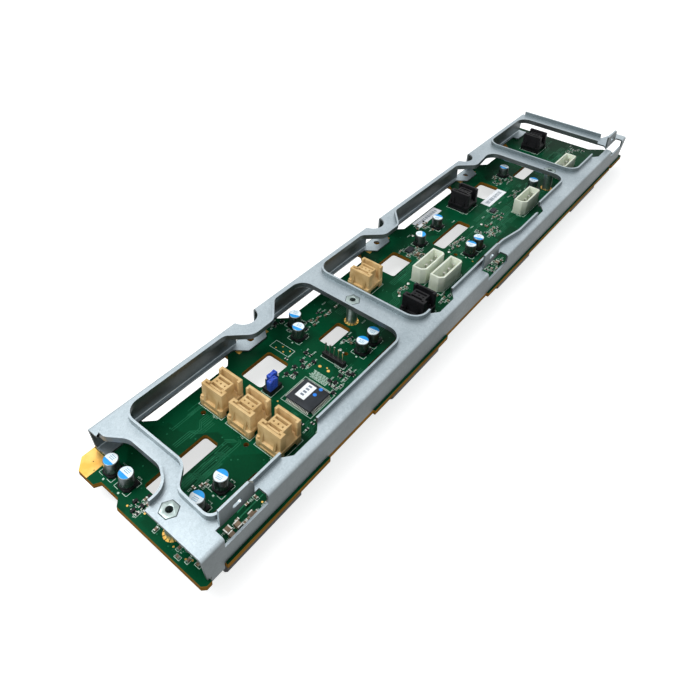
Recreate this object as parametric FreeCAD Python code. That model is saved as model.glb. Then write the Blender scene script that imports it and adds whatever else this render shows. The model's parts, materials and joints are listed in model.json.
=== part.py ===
import FreeCAD, Part
import math
import os

from FreeCAD import Vector

# Drive backplane board of a two-unit server. Twelve drive connectors in four columns of three
# hang below a circuit board, and a folded steel bracket stiffens the board on its cable side.
# X runs along the board, Y goes away from the front wall of the bracket, Z points up.
# While the pieces are made, x = 0 is the near end of the back wall, y = 0 the outer face of
# the front wall and z = 0 the top of the board. The last step moves everything so that the
# origin is the middle of the footprint, at the lowest faces of the drive connectors.

# Drive pattern
columns = 4
rows = 3
column_pitch = 107.0
row_pitch = 29.0
first_column_x = 26.0
first_row_y = 5.5

# Folded bracket
sheet = 1.0
bend = 0.5
bracket_top = 13.8
bracket_depth = 75.0
bracket_near_x = -7.8
bracket_far_margin = 32.0
loop_reach = 14.0
loop_depth = 8.0
loop_slope = 5.0
front_wall_gap = 0.6
wall_end_slant = 2.2
flange_width = 3.0
lip_height = 2.5
lip_bend = 0.8
near_cut_corner = 9.0
near_cut_y = 29.3
near_cut_x = 7.6
near_cut_inner_x = 2.0
near_cut_bulge_start = 8.7
near_cut_bulge_margins = (18.0, 10.0)
near_lip_start = -5.5
near_lip_margin = 6.2
near_cut_back_margin = 5.7

# Windows of the bracket, with a crossbar over each of two drive columns' edges
crossbar_width = 11.4
first_crossbar = 25.3
second_crossbar = 3.6
window_corner = 8.0
window_near_x = 12.9
window_far_margin = 11.0
window_back_margin = 4.2
window_front_margin = 7.2
near_widening_x = (3.2, 4.0)
near_widening_y = (11.5, 26.0, 33.0)
near_widening_corner = 6.0
front_bulge = (12.0, 28.0, 57.0, 64.0)
front_bulge_depth = 2.8
front_bulge_corner = 20.0
front_step = 1.2
front_step_corner = 3.0
dip_depth = 9.8
dip_left_top = 17.5
dip_left_bottom = 8.0
dip_right_bottom = 5.0
dip_right_top = 16.0
dip_end_rise = 2.5
dip_corner = 5.5

# Finger-wide reliefs in the front edge of the windows, where the lip is interrupted.
# Each has its column and its two ends from that column's start.
reliefs = [(0, 40.0, 62.0), (1, 42.0, 63.0), (2, 48.8, 63.8)]
last_relief = 41.0
relief_slope = 4.0
relief_y = 4.2
relief_back = 3.0
last_relief_back = 4.8

# Circuit board
board_thickness = 2.4
board_near_margin = 0.9
board_far_margin = 4.0
board_front_y = -0.9
board_back_margin = 1.0
board_ear_margin = 3.0
board_ear_depth = 13.5
board_ear_slope = 8.5
board_corner = 1.5
end_tab_width = 14.2
end_tab_chamfer = 4.6
end_recess_depth = 2.7
end_recess_width = 14.8
leg_notch_margin = 0.6
leg_notch_depth = 2.6
recess_depth = 8.8
recess_slope = 4.4
recess_spans = [(27.5, 69.5), (6.5, 69.5), (6.0, 65.0), (7.0, 41.0)]
front_reliefs = [(0, 61.0, 92.5), (1, 48.0, 91.0), (3, 62.0, 65.0)]
front_relief_depth = 1.2

# Slots and holes through the board, each row given by its near end and its two Y values
slot_corner = 1.6
air_slot_length = 32.5
front_slot_y = (9.3, 17.5)
front_slot_start = 4.5
middle_slot_y = (38.2, 46.5)
middle_slot_start = 3.6
short_slot_length = 16.4
window_hole_y = (46.0, 59.0)
window_hole_start = 69.5
window_hole_length = 19.5
pilot_hole = 2.3
pilot_holes = [
    (0, 43.2, 55.4), (0, 43.2, 29.6), (1, 4.8, 55.4), (1, 4.8, 30.0), (2, 3.2, 30.2), (2, 41.8, 30.2),
]

# Half-round notches in the back edge, each with a screw foot below it
notch_radius = 6.7
first_notch_x = 88.7
notches = 3
foot_half_root = 11.0
foot_half_tip = 6.3
foot_reach = 9.0
foot_hole = 3.5
foot_hole_inset = 4.1
end_foot_length = 8.5
end_foot_reach = 7.0

# Upright tabs in openings of the front edge
tab_width = 17.5
tab_height = 8.0
tab_setback = 4.7
tab_opening_width = 22.0
tab_opening_drop = 4.8
tab_slot_length = 4.6
tab_slot_width = 2.3
tab_slot_rise = 3.3
tab_chamfer = 2.5
near_tab_start = 3.0
middle_tab_start = 17.7
far_tab_margin = 15.5
leg_gap = 0.8
leg_inset = 3.7

# Standoffs between bracket and board, and the screws that hold the board to them
hex_standoff_at = (-2.0, 22.9)
round_standoffs_y = (42.0, 21.6)
hex_flats = 6.6
standoff_body = 5.6
round_head = 4.5
standoff_bore = 2.9
screw_clearance = 0.15
screw_hole = 3.2
screw_head = 5.5
screw_head_height = 1.7
screw_head_chamfer = 0.9
screw_grip = 5.0
driver_recess = 2.2
driver_recess_depth = 1.0

# Drive connectors
drive_length = 43.0
drive_width = 6.2
drive_height = 9.6
drive_chamfer = 0.8
drive_slot_length = 33.0
drive_slot_width = 2.2
drive_slot_depth = 5.4
drive_key_length = 1.4
drive_key_width = 1.6
drive_guide_length = 3.4
drive_guide_width = 2.6
drive_guide_depth = 6.2
drive_guide_inset = 0.5
drive_foot_height = 0.9
drive_foot_inset = 0.6
drive_foot_length = 4.0
drive_foot_place = 3.0
drive_middle_foot_margin = 7.0

# Cable connectors, each given by its column and its row
cable_length = 14.0
cable_width = 13.5
cable_base = 4.0
cable_base_chamfer = 0.5
cable_height = 12.2
cable_wall = 1.2
cable_near_inset = 1.3
cable_near_return = 3.2
cable_far_return = 2.4
cable_hook = 1.5
cable_shroud_width = 12.5
cable_rib_width = 1.2
cable_rib_rise = 4.6
cable_rib_inset = 2.6
cable_panel = (9.0, 2.0, 0.4)
cable_panel_sill = 1.0
cable_well = (8.0, 2.4)
tongue_length = 7.4
tongue_width = 8.3
tongue_drop = 1.0
tongue_slot = 1.3
tongue_slot_depth = 4.0
tongue_slot_offset = 2.1
tongue_slot_margin = 0.8
tongue_socket = 0.8
tongue_socket_pitch = 2.4
tongue_socket_depth = 2.0
ramp_rise = 2.2
cable_peg = 1.8
cable_peg_rise = 1.2
cable_peg_inset = 1.1
first_cable_x = 52.8
cable_rows_y = (20.2, 36.9, 53.6)
cable_places = [(0, 0), (0, 1), (0, 2), (1, 2), (1, 0), (2, 2), (3, 2)]

# Power connectors, each given by its column and its place from that column's start
power_length = 22.0
power_width = 7.8
power_height = 9.8
power_wall = 1.1
power_floor = 2.4
power_chamfer = 2.4
power_far_chamfer = 1.2
power_pin = 1.3
power_pin_pitch = 5.08
power_pins = 4
power_pin_rise = 5.2
power_places = [(1, 84.4, 33.3), (1, 84.4, 22.2), (2, 78.4, 21.9), (3, 32.4, 21.9)]

# Electrolytic capacitors
can_diameter = 6.3
can_height = 7.2
can_base = 6.8
can_base_height = 1.1
can_base_chamfer = 1.4
can_places = [
    (0, 0.0, 61.0), (0, 0.0, 51.5), (0, 22.8, 22.9), (0, 10.6, 23.0), (1, 4.4, 61.8), (1, -1.5, 54.6),
    (1, 11.2, 25.2), (1, 20.0, 25.2), (2, -1.3, 51.7), (2, 21.0, 53.5), (2, 18.4, 24.3), (2, 9.4, 24.4),
    (3, -0.4, 51.6), (3, -3.8, 28.6),
]

# Controller chip with gull-wing leads
chip_at = (79.5, 26.6)
chip_body = 14.0
chip_height = 1.5
chip_standoff = 0.1
chip_edge = 0.3
lead_span = 16.4
lead_count = 16
lead_pitch = 0.8
lead_width = 0.35
lead_thickness = 0.18
lead_foot = 0.7

# Headers
header_place = (1, -2.5, 31.5)
header_rows = 5
header_pitch = 2.54
header_block_height = 2.5
header_pin = 0.64
header_pin_rise = 8.5
jumper_at = (72.6, 41.8)
jumper_pin_rise = 7.6
jumper_length = 4.9
jumper_width = 2.4
jumper_height = 5.6
jumper_chamfer = 0.3
jumper_clearance = 0.02
jumper_groove = (2.0, 0.3)

# Round stretches too small to need true arcs get this many sides
small_sides = 12


def point(x, y, z=0.0):
    return Vector(x, y, z)


def box(x_span, y_span, z_span):
    corner = Vector(x_span[0], y_span[0], z_span[0])
    return Part.makeBox(x_span[1] - x_span[0], y_span[1] - y_span[0], z_span[1] - z_span[0], corner)


def cylinder(diameter, bottom, top, at):
    return Part.makeCylinder(diameter / 2, top - bottom, Vector(at[0], at[1], bottom))


def on_column(column, x, y):
    return (column * column_pitch + x, y)


# A flat outline from corners (x, y, radius), where each corner with a radius becomes an arc
def outline(corners, z):
    count = len(corners)
    edges = []
    ends = []
    for index, (x, y, radius) in enumerate(corners):
        here = point(x, y, z)
        before = point(*corners[index - 1][:2], z) - here
        after = point(*corners[(index + 1) % count][:2], z) - here
        if radius <= 0:
            ends.append((here, here, None))
            continue
        half = before.getAngle(after) / 2
        reach = min(radius / math.tan(half), 0.48 * before.Length, 0.48 * after.Length)
        arc_radius = reach * math.tan(half)
        first = here + before.normalize() * reach
        last = here + after.normalize() * reach
        inward = (before + after).normalize()
        middle = here + inward * (math.hypot(reach, arc_radius) - arc_radius)
        ends.append((first, last, middle))
    for index, (first, last, middle) in enumerate(ends):
        if middle is not None:
            edges.append(Part.Arc(first, middle, last).toShape())
        start = ends[(index + 1) % count][0]
        if last.distanceToPoint(start) > 1e-6:
            edges.append(Part.makeLine(last, start))
    return Part.Wire(edges)


def prism(corners, bottom, top):
    face = Part.Face(outline(corners, bottom))
    return face.extrude(Vector(0, 0, top - bottom))


# A prism along Y from corners (x, z), between two Y values
def side_prism(corners, y_span):
    points = [Vector(x, y_span[0], z) for x, z in corners]
    wire = Part.makePolygon(points + points[:1])
    return Part.Face(wire).extrude(Vector(0, y_span[1] - y_span[0], 0))


def rectangle(x_span, y_span, radius):
    return [
        (x_span[0], y_span[0], radius),
        (x_span[1], y_span[0], radius),
        (x_span[1], y_span[1], radius),
        (x_span[0], y_span[1], radius),
    ]


def cut_rectangle(x_span, y_span, cut):
    (left, right), (front, back) = x_span, y_span
    return [
        (left + cut, front, 0), (right - cut, front, 0), (right, front + cut, 0), (right, back - cut, 0),
        (right - cut, back, 0), (left + cut, back, 0), (left, back - cut, 0), (left, front + cut, 0),
    ]


# Corners of a regular polygon with its first flat towards +X, given by the distance across flats
def polygon(flats, sides, at):
    radius = flats / 2 / math.cos(math.pi / sides)
    turns = [(2 * k + 1) * math.pi / sides for k in range(sides)]
    return [(at[0] + radius * math.cos(turn), at[1] + radius * math.sin(turn), 0) for turn in turns]


def fuse_all(shapes):
    first = shapes[0]
    return first.fuse(shapes[1:]).removeSplitter() if len(shapes) > 1 else first


# Sizes that several pieces share
sheet_bottom = bracket_top - sheet
lip_top = bracket_top + lip_height
bracket_far_x = columns * column_pitch - bracket_far_margin
loop_end_x = bracket_far_x + loop_reach
board_bottom = -board_thickness
board_near_x = bracket_near_x - board_near_margin
board_far_x = bracket_far_x + board_far_margin
board_back_y = bracket_depth + board_back_margin
notch_places = [first_notch_x + k * column_pitch for k in range(notches)]
foot_hole_y = bracket_depth - foot_hole_inset
tab_opening_starts = [near_tab_start, 2 * column_pitch - middle_tab_start, bracket_far_x - far_tab_margin]
leg_span = (bracket_near_x + leg_inset, near_tab_start - leg_gap)
crossbars = [column_pitch + first_crossbar, (columns - 1) * column_pitch + second_crossbar]
window_ends = [
    (window_near_x, crossbars[0] - crossbar_width / 2),
    (crossbars[0] + crossbar_width / 2, crossbars[1] - crossbar_width / 2),
    (crossbars[1] + crossbar_width / 2, bracket_far_x - window_far_margin),
]
round_standoffs_at = list(zip(crossbars, round_standoffs_y))


def board():
    back = board_back_y
    front = board_front_y
    near = board_near_x
    corner = board_corner
    tab_end = back - end_tab_width
    recess_end = tab_end - end_recess_width
    ear_x = loop_end_x - board_ear_margin
    left_leg = leg_span[0] - leg_notch_margin
    right_leg = leg_span[1] + leg_notch_margin
    plate = prism([
        (near, front + corner, 0), (near + corner, front, 0),
        (left_leg, front, 0), (left_leg, front + leg_notch_depth, 0),
        (right_leg, front + leg_notch_depth, 0), (right_leg, front, 0),
        (ear_x, front, corner), (ear_x, front + board_ear_depth, corner),
        (board_far_x, front + board_ear_depth + board_ear_slope, 0), (board_far_x, back, 0),
        (near + end_tab_chamfer, back, 0), (near, back - end_tab_chamfer, 0),
        (near, tab_end, 0), (near + end_recess_depth, tab_end - corner, 0),
        (near + end_recess_depth, recess_end + end_recess_depth, 0), (near, recess_end, 0),
    ], board_bottom, 0)
    cuts = []
    for column, (start, end) in enumerate(recess_spans):
        left = start + column * column_pitch
        right = end + column * column_pitch
        cuts.append(prism([
            (left, back - recess_depth, corner), (right, back - recess_depth, corner),
            (right + recess_slope, back - recess_slope, 0), (right + recess_slope, back + 1, 0),
            (left - recess_slope, back + 1, 0), (left - recess_slope, back - recess_slope, 0),
        ], board_bottom, 0))
    for column, start, end in front_reliefs:
        x_span = (column * column_pitch + start, column * column_pitch + end)
        cuts.append(box(x_span, (front - 1, front + front_relief_depth), (board_bottom, 0)))
    for column in range(columns):
        x = column * column_pitch
        slots = [(front_slot_start, air_slot_length, front_slot_y)]
        middle_length = short_slot_length if column == 1 else air_slot_length
        slots.append((middle_slot_start, middle_length, middle_slot_y))
        if column < columns - 1:
            slots.append((window_hole_start, window_hole_length, window_hole_y))
        for start, length, y_span in slots:
            x_span = (x + start, x + start + length)
            cuts.append(prism(rectangle(x_span, y_span, slot_corner), board_bottom, 0))
    for place in pilot_holes:
        cuts.append(cylinder(pilot_hole, board_bottom, 0, on_column(*place)))
    for x in notch_places:
        cuts.append(cylinder(foot_hole, board_bottom, 0, (x, foot_hole_y)))
    for place in [hex_standoff_at] + round_standoffs_at:
        cuts.append(cylinder(screw_hole, board_bottom, 0, place))
    return plate.cut(cuts)


# The closed fold line of an opening in the bracket: the hole to cut and the lip turned up along it
def lipped_opening(corners):
    hole = prism(corners, sheet_bottom, bracket_top)
    fold = Part.Face(outline(corners, sheet_bottom))
    inner = fold.makeOffset2D(-sheet)
    rise = Vector(0, 0, lip_top - sheet_bottom)
    lip = fold.extrude(rise).cut(inner.extrude(rise))
    low_edges = [
        edge for edge in lip.Edges
        if edge.BoundBox.ZMax < sheet_bottom + 0.01 and edge.distToShape(inner)[0] < 0.001
    ]
    return hole, lip.makeChamfer(lip_bend, low_edges)


# The back fold of a window, from its right end to its left end. It runs straight but dips
# forward round the foot below each notch, and a dip too near the right end runs out into it.
def back_fold(left, right):
    straight = bracket_depth - window_back_margin
    dip = straight - dip_depth
    corners = []
    inside = [x for x in notch_places if left < x < right]
    if not inside or inside[-1] + dip_right_top + window_corner < right:
        corners.append((right, straight, window_corner))
    for x in reversed(inside):
        if x + dip_right_top + window_corner < right:
            corners.append((x + dip_right_top, straight, dip_corner))
            corners.append((x + dip_right_bottom, dip, dip_corner))
        else:
            corners.append((right, dip + dip_end_rise, window_corner))
        corners.append((x - dip_left_bottom, dip, dip_corner))
        corners.append((x - dip_left_top, straight, dip_corner))
    corners.append((left, straight, window_corner))
    return corners


# The front folds: the first window widens at its near end, the second bulges forwards and
# then steps back, and the third has no rounding where its lip is left out
def windows():
    front = window_front_margin
    first, second, third = window_ends
    bulge = [2 * column_pitch + x for x in front_bulge]
    widening = near_widening_corner
    return [
        [(first[0] + widening, front, widening), (first[1], front, window_corner)]
        + back_fold(*first)
        + [(first[0], near_widening_y[2], widening), (near_widening_x[1], near_widening_y[1], widening),
           (near_widening_x[0], near_widening_y[0], widening)],
        [(second[0], front, window_corner), (bulge[0], front, front_bulge_corner),
         (bulge[1], front - front_bulge_depth, front_bulge_corner),
         (bulge[2], front - front_bulge_depth, front_step_corner),
         (bulge[3], front + front_step, front_step_corner),
         (second[1], front + front_step, window_corner)]
        + back_fold(*second),
        [(third[0], front, window_corner), (third[1], front, 0)]
        + back_fold(*third),
    ]


def relief_cuts(z_span):
    spans = [(column * column_pitch + start, column * column_pitch + end, relief_back)
             for column, start, end in reliefs]
    spans.append(((columns - 1) * column_pitch + last_relief, window_ends[-1][1], last_relief_back))
    front = window_front_margin
    return [
        prism([
            (start, front + back, 0), (start, front, 0), (start + relief_slope, relief_y, 0),
            (end - relief_slope, relief_y, 0), (end, front, 0), (end, front + back, 0),
        ], *z_span)
        for start, end, back in spans
    ]


def folded_channel():
    near = bracket_near_x
    section = [
        (0, front_wall_gap), (0, bracket_top), (bracket_depth, bracket_top), (bracket_depth, 0),
        (bracket_depth - flange_width, 0), (bracket_depth - flange_width, sheet),
        (bracket_depth - sheet, sheet), (bracket_depth - sheet, sheet_bottom), (sheet, sheet_bottom),
        (sheet, front_wall_gap),
    ]
    points = [Vector(near, y, z) for y, z in section]
    face = Part.Face(Part.makePolygon(points + points[:1]))
    solid = face.extrude(Vector(loop_end_x - near, 0, 0))
    outer = [(0, bracket_top), (bracket_depth, bracket_top), (bracket_depth, 0)]
    inner = [(sheet, sheet_bottom), (bracket_depth - sheet, sheet_bottom), (bracket_depth - sheet, sheet)]
    solid = solid.makeFillet(bend + sheet, [edge for edge in solid.Edges if lies_along(edge, outer)])
    return solid.makeFillet(bend, [edge for edge in solid.Edges if lies_along(edge, inner)])


# Whether an edge runs along X through one of the given (y, z) places
def lies_along(edge, places):
    bounds = edge.BoundBox
    if bounds.XLength < 1:
        return False
    ends = [(bounds.YMin, bounds.ZMin), (bounds.YMax, bounds.ZMax)]
    return any(all(math.dist(end, place) < 0.01 for end in ends) for place in places)


def upright_tab(start):
    left = start + (tab_opening_width - tab_width) / 2
    right = left + tab_width
    top = bracket_top + tab_height
    bottom = sheet_bottom
    plate = side_prism([
        (left, bottom), (right, bottom), (right, top - tab_chamfer), (right - tab_chamfer, top), (left, top),
    ], (tab_setback, tab_setback + sheet))
    middle = (left + right) / 2
    reach = (tab_slot_length - tab_slot_width) / 2
    height = bracket_top + tab_slot_rise
    slot = side_prism([
        (middle - reach, height - tab_slot_width / 2), (middle + reach, height - tab_slot_width / 2),
        (middle + reach, height + tab_slot_width / 2), (middle - reach, height + tab_slot_width / 2),
    ], (tab_setback, tab_setback + sheet))
    ends = [
        Part.makeCylinder(tab_slot_width / 2, sheet, Vector(middle + side * reach, tab_setback, height),
                          Vector(0, 1, 0))
        for side in (-1, 1)
    ]
    return plate.cut([slot] + ends)


def foot(x):
    root = bracket_depth - flange_width
    tip = bracket_depth - foot_reach
    return prism([
        (x - foot_half_root, root, 0), (x - foot_half_tip, tip, 1.0),
        (x + foot_half_tip, tip, 1.0), (x + foot_half_root, root, 0),
        (x + foot_half_root, root + 1.0, 0), (x - foot_half_root, root + 1.0, 0),
    ], 0, sheet)


def bracket():
    far = bracket_far_x
    tall = (-1.0, lip_top + tab_height)
    outside = 2 * window_near_x
    holes = []
    lips = []
    for corners in windows():
        hole, lip = lipped_opening(corners)
        holes.append(hole)
        lips.append(lip)
    inner_x = near_cut_inner_x
    back_near = bracket_depth - near_cut_back_margin
    bulge_start = near_cut_y + near_cut_bulge_start
    bulge_end, waist = [bracket_depth - margin for margin in near_cut_bulge_margins]
    near_hole, near_lip = lipped_opening([
        (-outside, near_cut_y, 0), (inner_x, near_cut_y, near_cut_corner),
        (near_cut_x, bulge_start, near_cut_corner), (near_cut_x, bulge_end, near_cut_corner),
        (inner_x, waist, front_step_corner), (inner_x, back_near, 0), (-outside, back_near, 0),
    ])
    holes.append(near_hole)
    near_lip_y = (near_cut_y - sheet, bracket_depth - near_lip_margin)
    lips.append(near_lip.common(box((near_lip_start, window_near_x), near_lip_y, tall)))
    loop_y = loop_depth + loop_slope
    far_hole, far_lip = lipped_opening([
        (far, loop_y, 0), (far + loop_reach / 2, loop_depth + loop_slope / 2, 0),
        (loop_end_x + outside, loop_depth, 0), (loop_end_x + outside, bracket_depth + outside, 0),
        (far, bracket_depth + outside, 0),
    ])
    holes.append(far_hole)
    far_lip_y = (loop_y + sheet, bracket_depth - bend - sheet - 1)
    lips.append(far_lip.common(box((far, far + sheet), far_lip_y, tall)))
    body = folded_channel().cut(holes)
    body = body.fuse(lips + [foot(x) for x in notch_places] + end_feet())
    cuts = relief_cuts(tall)
    half = notch_radius
    notch_y = (bracket_depth - sheet - bend, bracket_depth + 1)
    for x in notch_places:
        cuts.append(cylinder(2 * half, sheet, tall[1], (x, bracket_depth)))
        cuts.append(box((x - half, x + half), notch_y, (sheet, tall[1])))
        cuts.append(cylinder(foot_hole, -1, 2 * sheet, (x, foot_hole_y)))
    for start in tab_opening_starts:
        end = start + tab_opening_width
        cuts.append(box((start, end), (-1, tab_setback), (bracket_top - tab_opening_drop, tall[1])))
    body = body.cut(cuts + wall_end_cuts() + standoff_seats())
    return body.fuse([upright_tab(start) for start in tab_opening_starts] + [front_leg()]).removeSplitter()


def end_feet():
    root = bracket_depth - flange_width
    tip = bracket_depth - end_foot_reach
    starts = [wall_end_slant, bracket_far_x - 2 * end_foot_length]
    lengths = [end_foot_length, 2 * end_foot_length - wall_end_slant]
    return [
        prism([(start, root + 1, 0), (start, tip, 1.0), (start + length, tip, 1.0),
               (start + length + 2.0, root + 1, 0)], 0, sheet)
        for start, length in zip(starts, lengths)
    ]


# The walls end in slanted cuts, so that the bracket is longest at its top face
def wall_end_cuts():
    low = -1.0
    near = bracket_near_x
    back_walls = (bracket_depth - flange_width - 5, bracket_depth + 1)
    front_walls = (-1.0, sheet + 2)
    slant = wall_end_slant
    end = loop_end_x + 1
    far = bracket_far_x
    top = bracket_top + 1
    return [
        side_prism([(near - 1, low), (slant, low), (0, top), (near - 1, top)], back_walls),
        side_prism([(near - 1, low), (near + slant, low), (near, sheet_bottom), (near - 1, sheet_bottom)],
                   front_walls),
        side_prism([(end, low), (far - slant, low), (far, sheet_bottom), (far + sheet, top), (end, top)],
                   back_walls),
        side_prism([(end, low), (loop_end_x - 5 * slant, low), (loop_end_x, sheet_bottom),
                    (end, sheet_bottom)], front_walls),
    ]


# A short leg of the front wall that drops into the notch of the board
def front_leg():
    return box(leg_span, (0, sheet), (board_bottom, front_wall_gap + 1))


def standoff_seats():
    seats = [prism(polygon(hex_flats, 6, hex_standoff_at), sheet_bottom, bracket_top)]
    return seats + [cylinder(round_head, sheet_bottom, bracket_top, place) for place in round_standoffs_at]


def hex_standoff():
    head = prism(polygon(hex_flats, 6, hex_standoff_at), sheet_bottom, bracket_top)
    body = head.fuse(cylinder(standoff_body, 0, sheet_bottom, hex_standoff_at))
    return body.cut(cylinder(standoff_bore, 0, bracket_top, hex_standoff_at)).removeSplitter()


def round_standoff(at):
    head = cylinder(round_head, sheet_bottom, bracket_top, at)
    body = cylinder(standoff_body, 0, sheet_bottom, at).fuse(head)
    return body.cut(cylinder(standoff_bore, 0, bracket_top, at)).removeSplitter()


# Pan-head screw from below, through the board into a standoff
def board_screw(at):
    under = board_bottom - screw_head_height
    head = cylinder(screw_head, under, board_bottom, at)
    low_edges = [edge for edge in head.Edges if edge.BoundBox.ZMax < under + 0.01]
    head = head.makeChamfer(screw_head_chamfer, low_edges)
    shank = cylinder(standoff_bore - 2 * screw_clearance, board_bottom - 0.1, screw_grip, at)
    cross = [
        box((at[0] - a, at[0] + a), (at[1] - b, at[1] + b), (under - 1, under + driver_recess_depth))
        for a, b in ((driver_recess / 2, driver_recess / 8), (driver_recess / 8, driver_recess / 2))
    ]
    return head.fuse(shank).cut(cross)


def drive_connector(at):
    x, y = at
    half = drive_length / 2
    depth = drive_width / 2
    low = board_bottom - drive_height
    foot_top = board_bottom - drive_foot_height
    outer = cut_rectangle((x - half, x + half), (y - depth, y + depth), drive_chamfer)
    body = prism(outer, low, foot_top)
    low_edges = [edge for edge in body.Edges if edge.BoundBox.ZMax < low + 0.01]
    body = body.makeChamfer(drive_chamfer / 2, low_edges)
    foot_y = (y - depth + drive_foot_inset, y + depth - drive_foot_inset)
    foot_z = (foot_top, board_bottom)
    margin = drive_middle_foot_margin
    feet = [box((x - half + margin, x + half - margin), foot_y, foot_z)]
    slot_half = drive_slot_length / 2
    slot_depth = drive_slot_width / 2
    slot_z = (low - 1, low + drive_slot_depth)
    cuts = [
        box((x - slot_half, x + slot_half), (y - slot_depth, y + slot_depth), slot_z),
        box((x - slot_half, x - slot_half + drive_key_length), (y, y + slot_depth + drive_key_width), slot_z),
    ]
    for side in (-1, 1):
        foot_x = x + side * (half - drive_foot_place)
        feet.append(box((foot_x - drive_foot_length / 2, foot_x + drive_foot_length / 2), foot_y, foot_z))
        guide_x = x + side * (half - drive_guide_length / 2 + drive_guide_inset)
        cuts.append(box((guide_x - drive_guide_length / 2, guide_x + drive_guide_length / 2),
                        (y - drive_guide_width / 2, y + drive_guide_width / 2),
                        (low - 1, low + drive_guide_depth)))
    return body.fuse(feet).cut(cuts).removeSplitter()


# The near wall hooks round at both ends, the far wall only turns back, and the two open ends
# between them let the latches of the cable's plug through
def cable_walls(x, y):
    wall = cable_wall
    side = cable_shroud_width / 2
    near = x - cable_length / 2 + cable_near_inset
    tip = near + cable_near_return
    hook = side - wall - cable_hook
    near_plan = [
        (near, y - side), (tip, y - side), (tip, y - hook), (tip - wall, y - hook),
        (tip - wall, y - side + wall), (near + wall, y - side + wall),
        (near + wall, y + side - wall), (tip - wall, y + side - wall),
        (tip - wall, y + hook), (tip, y + hook), (tip, y + side), (near, y + side),
    ]
    far = x + cable_length / 2
    turn = far - cable_far_return
    far_plan = [
        (far, y - side), (far, y + side), (turn, y + side), (turn, y + side - wall),
        (far - wall, y + side - wall), (far - wall, y - side + wall),
        (turn, y - side + wall), (turn, y - side),
    ]
    return [
        prism([(*corner, 0) for corner in plan], cable_base, cable_height)
        for plan in (near_plan, far_plan)
    ]


# A wedge along one axis: its foot lies on the base, and its upright face leans on a wall
def wedge(foot, lean, rise, run):
    corner = Vector(*foot, cable_base)
    points = [corner, corner + Vector(*lean, 0), corner + Vector(*lean, rise), corner]
    return Part.Face(Part.makePolygon(points)).extrude(Vector(*run, 0))


def cable_connector(at):
    x, y = at
    near = x - cable_length / 2
    far = x + cable_length / 2
    side = cable_shroud_width / 2
    base_side = cable_width / 2
    tongue_x = (x - tongue_length / 2, x + tongue_length / 2)
    tongue_side = tongue_width / 2
    tongue_top = cable_height - tongue_drop
    plan = cut_rectangle((near, far), (y - base_side, y + base_side), cable_base_chamfer)
    base = prism(plan, 0, cable_base)
    tongue = box(tongue_x, (y - tongue_side, y + tongue_side), (cable_base, tongue_top))
    pieces = [base, tongue] + cable_walls(x, y)
    for end in (-1, 1):
        rib_y = y + end * (side - cable_rib_inset)
        pieces.append(wedge((near, rib_y - cable_rib_width / 2), (cable_near_inset, 0), cable_rib_rise,
                            (0, cable_rib_width)))
        pieces.append(wedge((tongue_x[0], y + end * side), (0, end * (tongue_side - side)), ramp_rise,
                            (tongue_length, 0)))
    peg_at = (near + cable_peg_inset, y + base_side - cable_peg_inset)
    pieces.append(prism(polygon(cable_peg, small_sides, peg_at), cable_base, cable_base + cable_peg_rise))
    panel_length, panel_height, panel_depth = cable_panel
    well_length, well_height = cable_well
    cuts = [
        box((near, near + panel_depth), (y - panel_length / 2, y + panel_length / 2),
            (cable_panel_sill, cable_panel_sill + panel_height)),
        box((x - well_length / 2, x + well_length / 2), (y - base_side, y - base_side + cable_wall),
            (0, well_height)),
    ]
    slot_y = (y - tongue_side + tongue_slot_margin, y + tongue_side - tongue_slot_margin)
    for end in (-1, 1):
        slot_x = x + end * tongue_slot_offset
        cuts.append(box((slot_x - tongue_slot / 2, slot_x + tongue_slot / 2), slot_y,
                        (tongue_top - tongue_slot_depth, tongue_top)))
    half = tongue_socket / 2
    for k in (-1, 0, 1):
        socket_y = y + k * tongue_socket_pitch
        cuts.append(box((x - half, x + half), (socket_y - half, socket_y + half),
                        (tongue_top - tongue_socket_depth, tongue_top)))
    return fuse_all(pieces).cut(cuts)


# The shroud is keyed: the corners of its front side are cut off, the near one by more
def power_connector(at):
    x, y = at
    half_x = power_length / 2
    half_y = power_width / 2

    def shroud(inset, bottom, top):
        left, right = x - half_x + inset, x + half_x - inset
        front, back = y - half_y + inset, y + half_y - inset
        narrowing = inset * (2 - math.sqrt(2))
        near_cut = power_chamfer - narrowing
        far_cut = power_far_chamfer - narrowing
        return prism([
            (left + near_cut, front, 0), (right - far_cut, front, 0), (right, front + far_cut, 0),
            (right, back, 0), (left, back, 0), (left, front + near_cut, 0),
        ], bottom, top)

    return shroud(0, 0, power_height).cut(shroud(power_wall, power_floor, power_height))


def power_connector_pins(at):
    x, y = at
    start = x - power_pin_pitch * (power_pins - 1) / 2
    return [
        prism(polygon(power_pin, small_sides, (start + k * power_pin_pitch, y)), power_floor,
              power_floor + power_pin_rise)
        for k in range(power_pins)
    ]


def capacitor(at):
    x, y = at
    half = can_base / 2
    chamfer = can_base_chamfer
    base = prism([
        (x - half + chamfer, y - half, 0), (x + half, y - half, 0),
        (x + half, y + half, 0), (x - half + chamfer, y + half, 0),
        (x - half, y + half - chamfer, 0), (x - half, y - half + chamfer, 0),
    ], 0, can_base_height)
    return base.fuse(cylinder(can_diameter, can_base_height, can_height, at))


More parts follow.
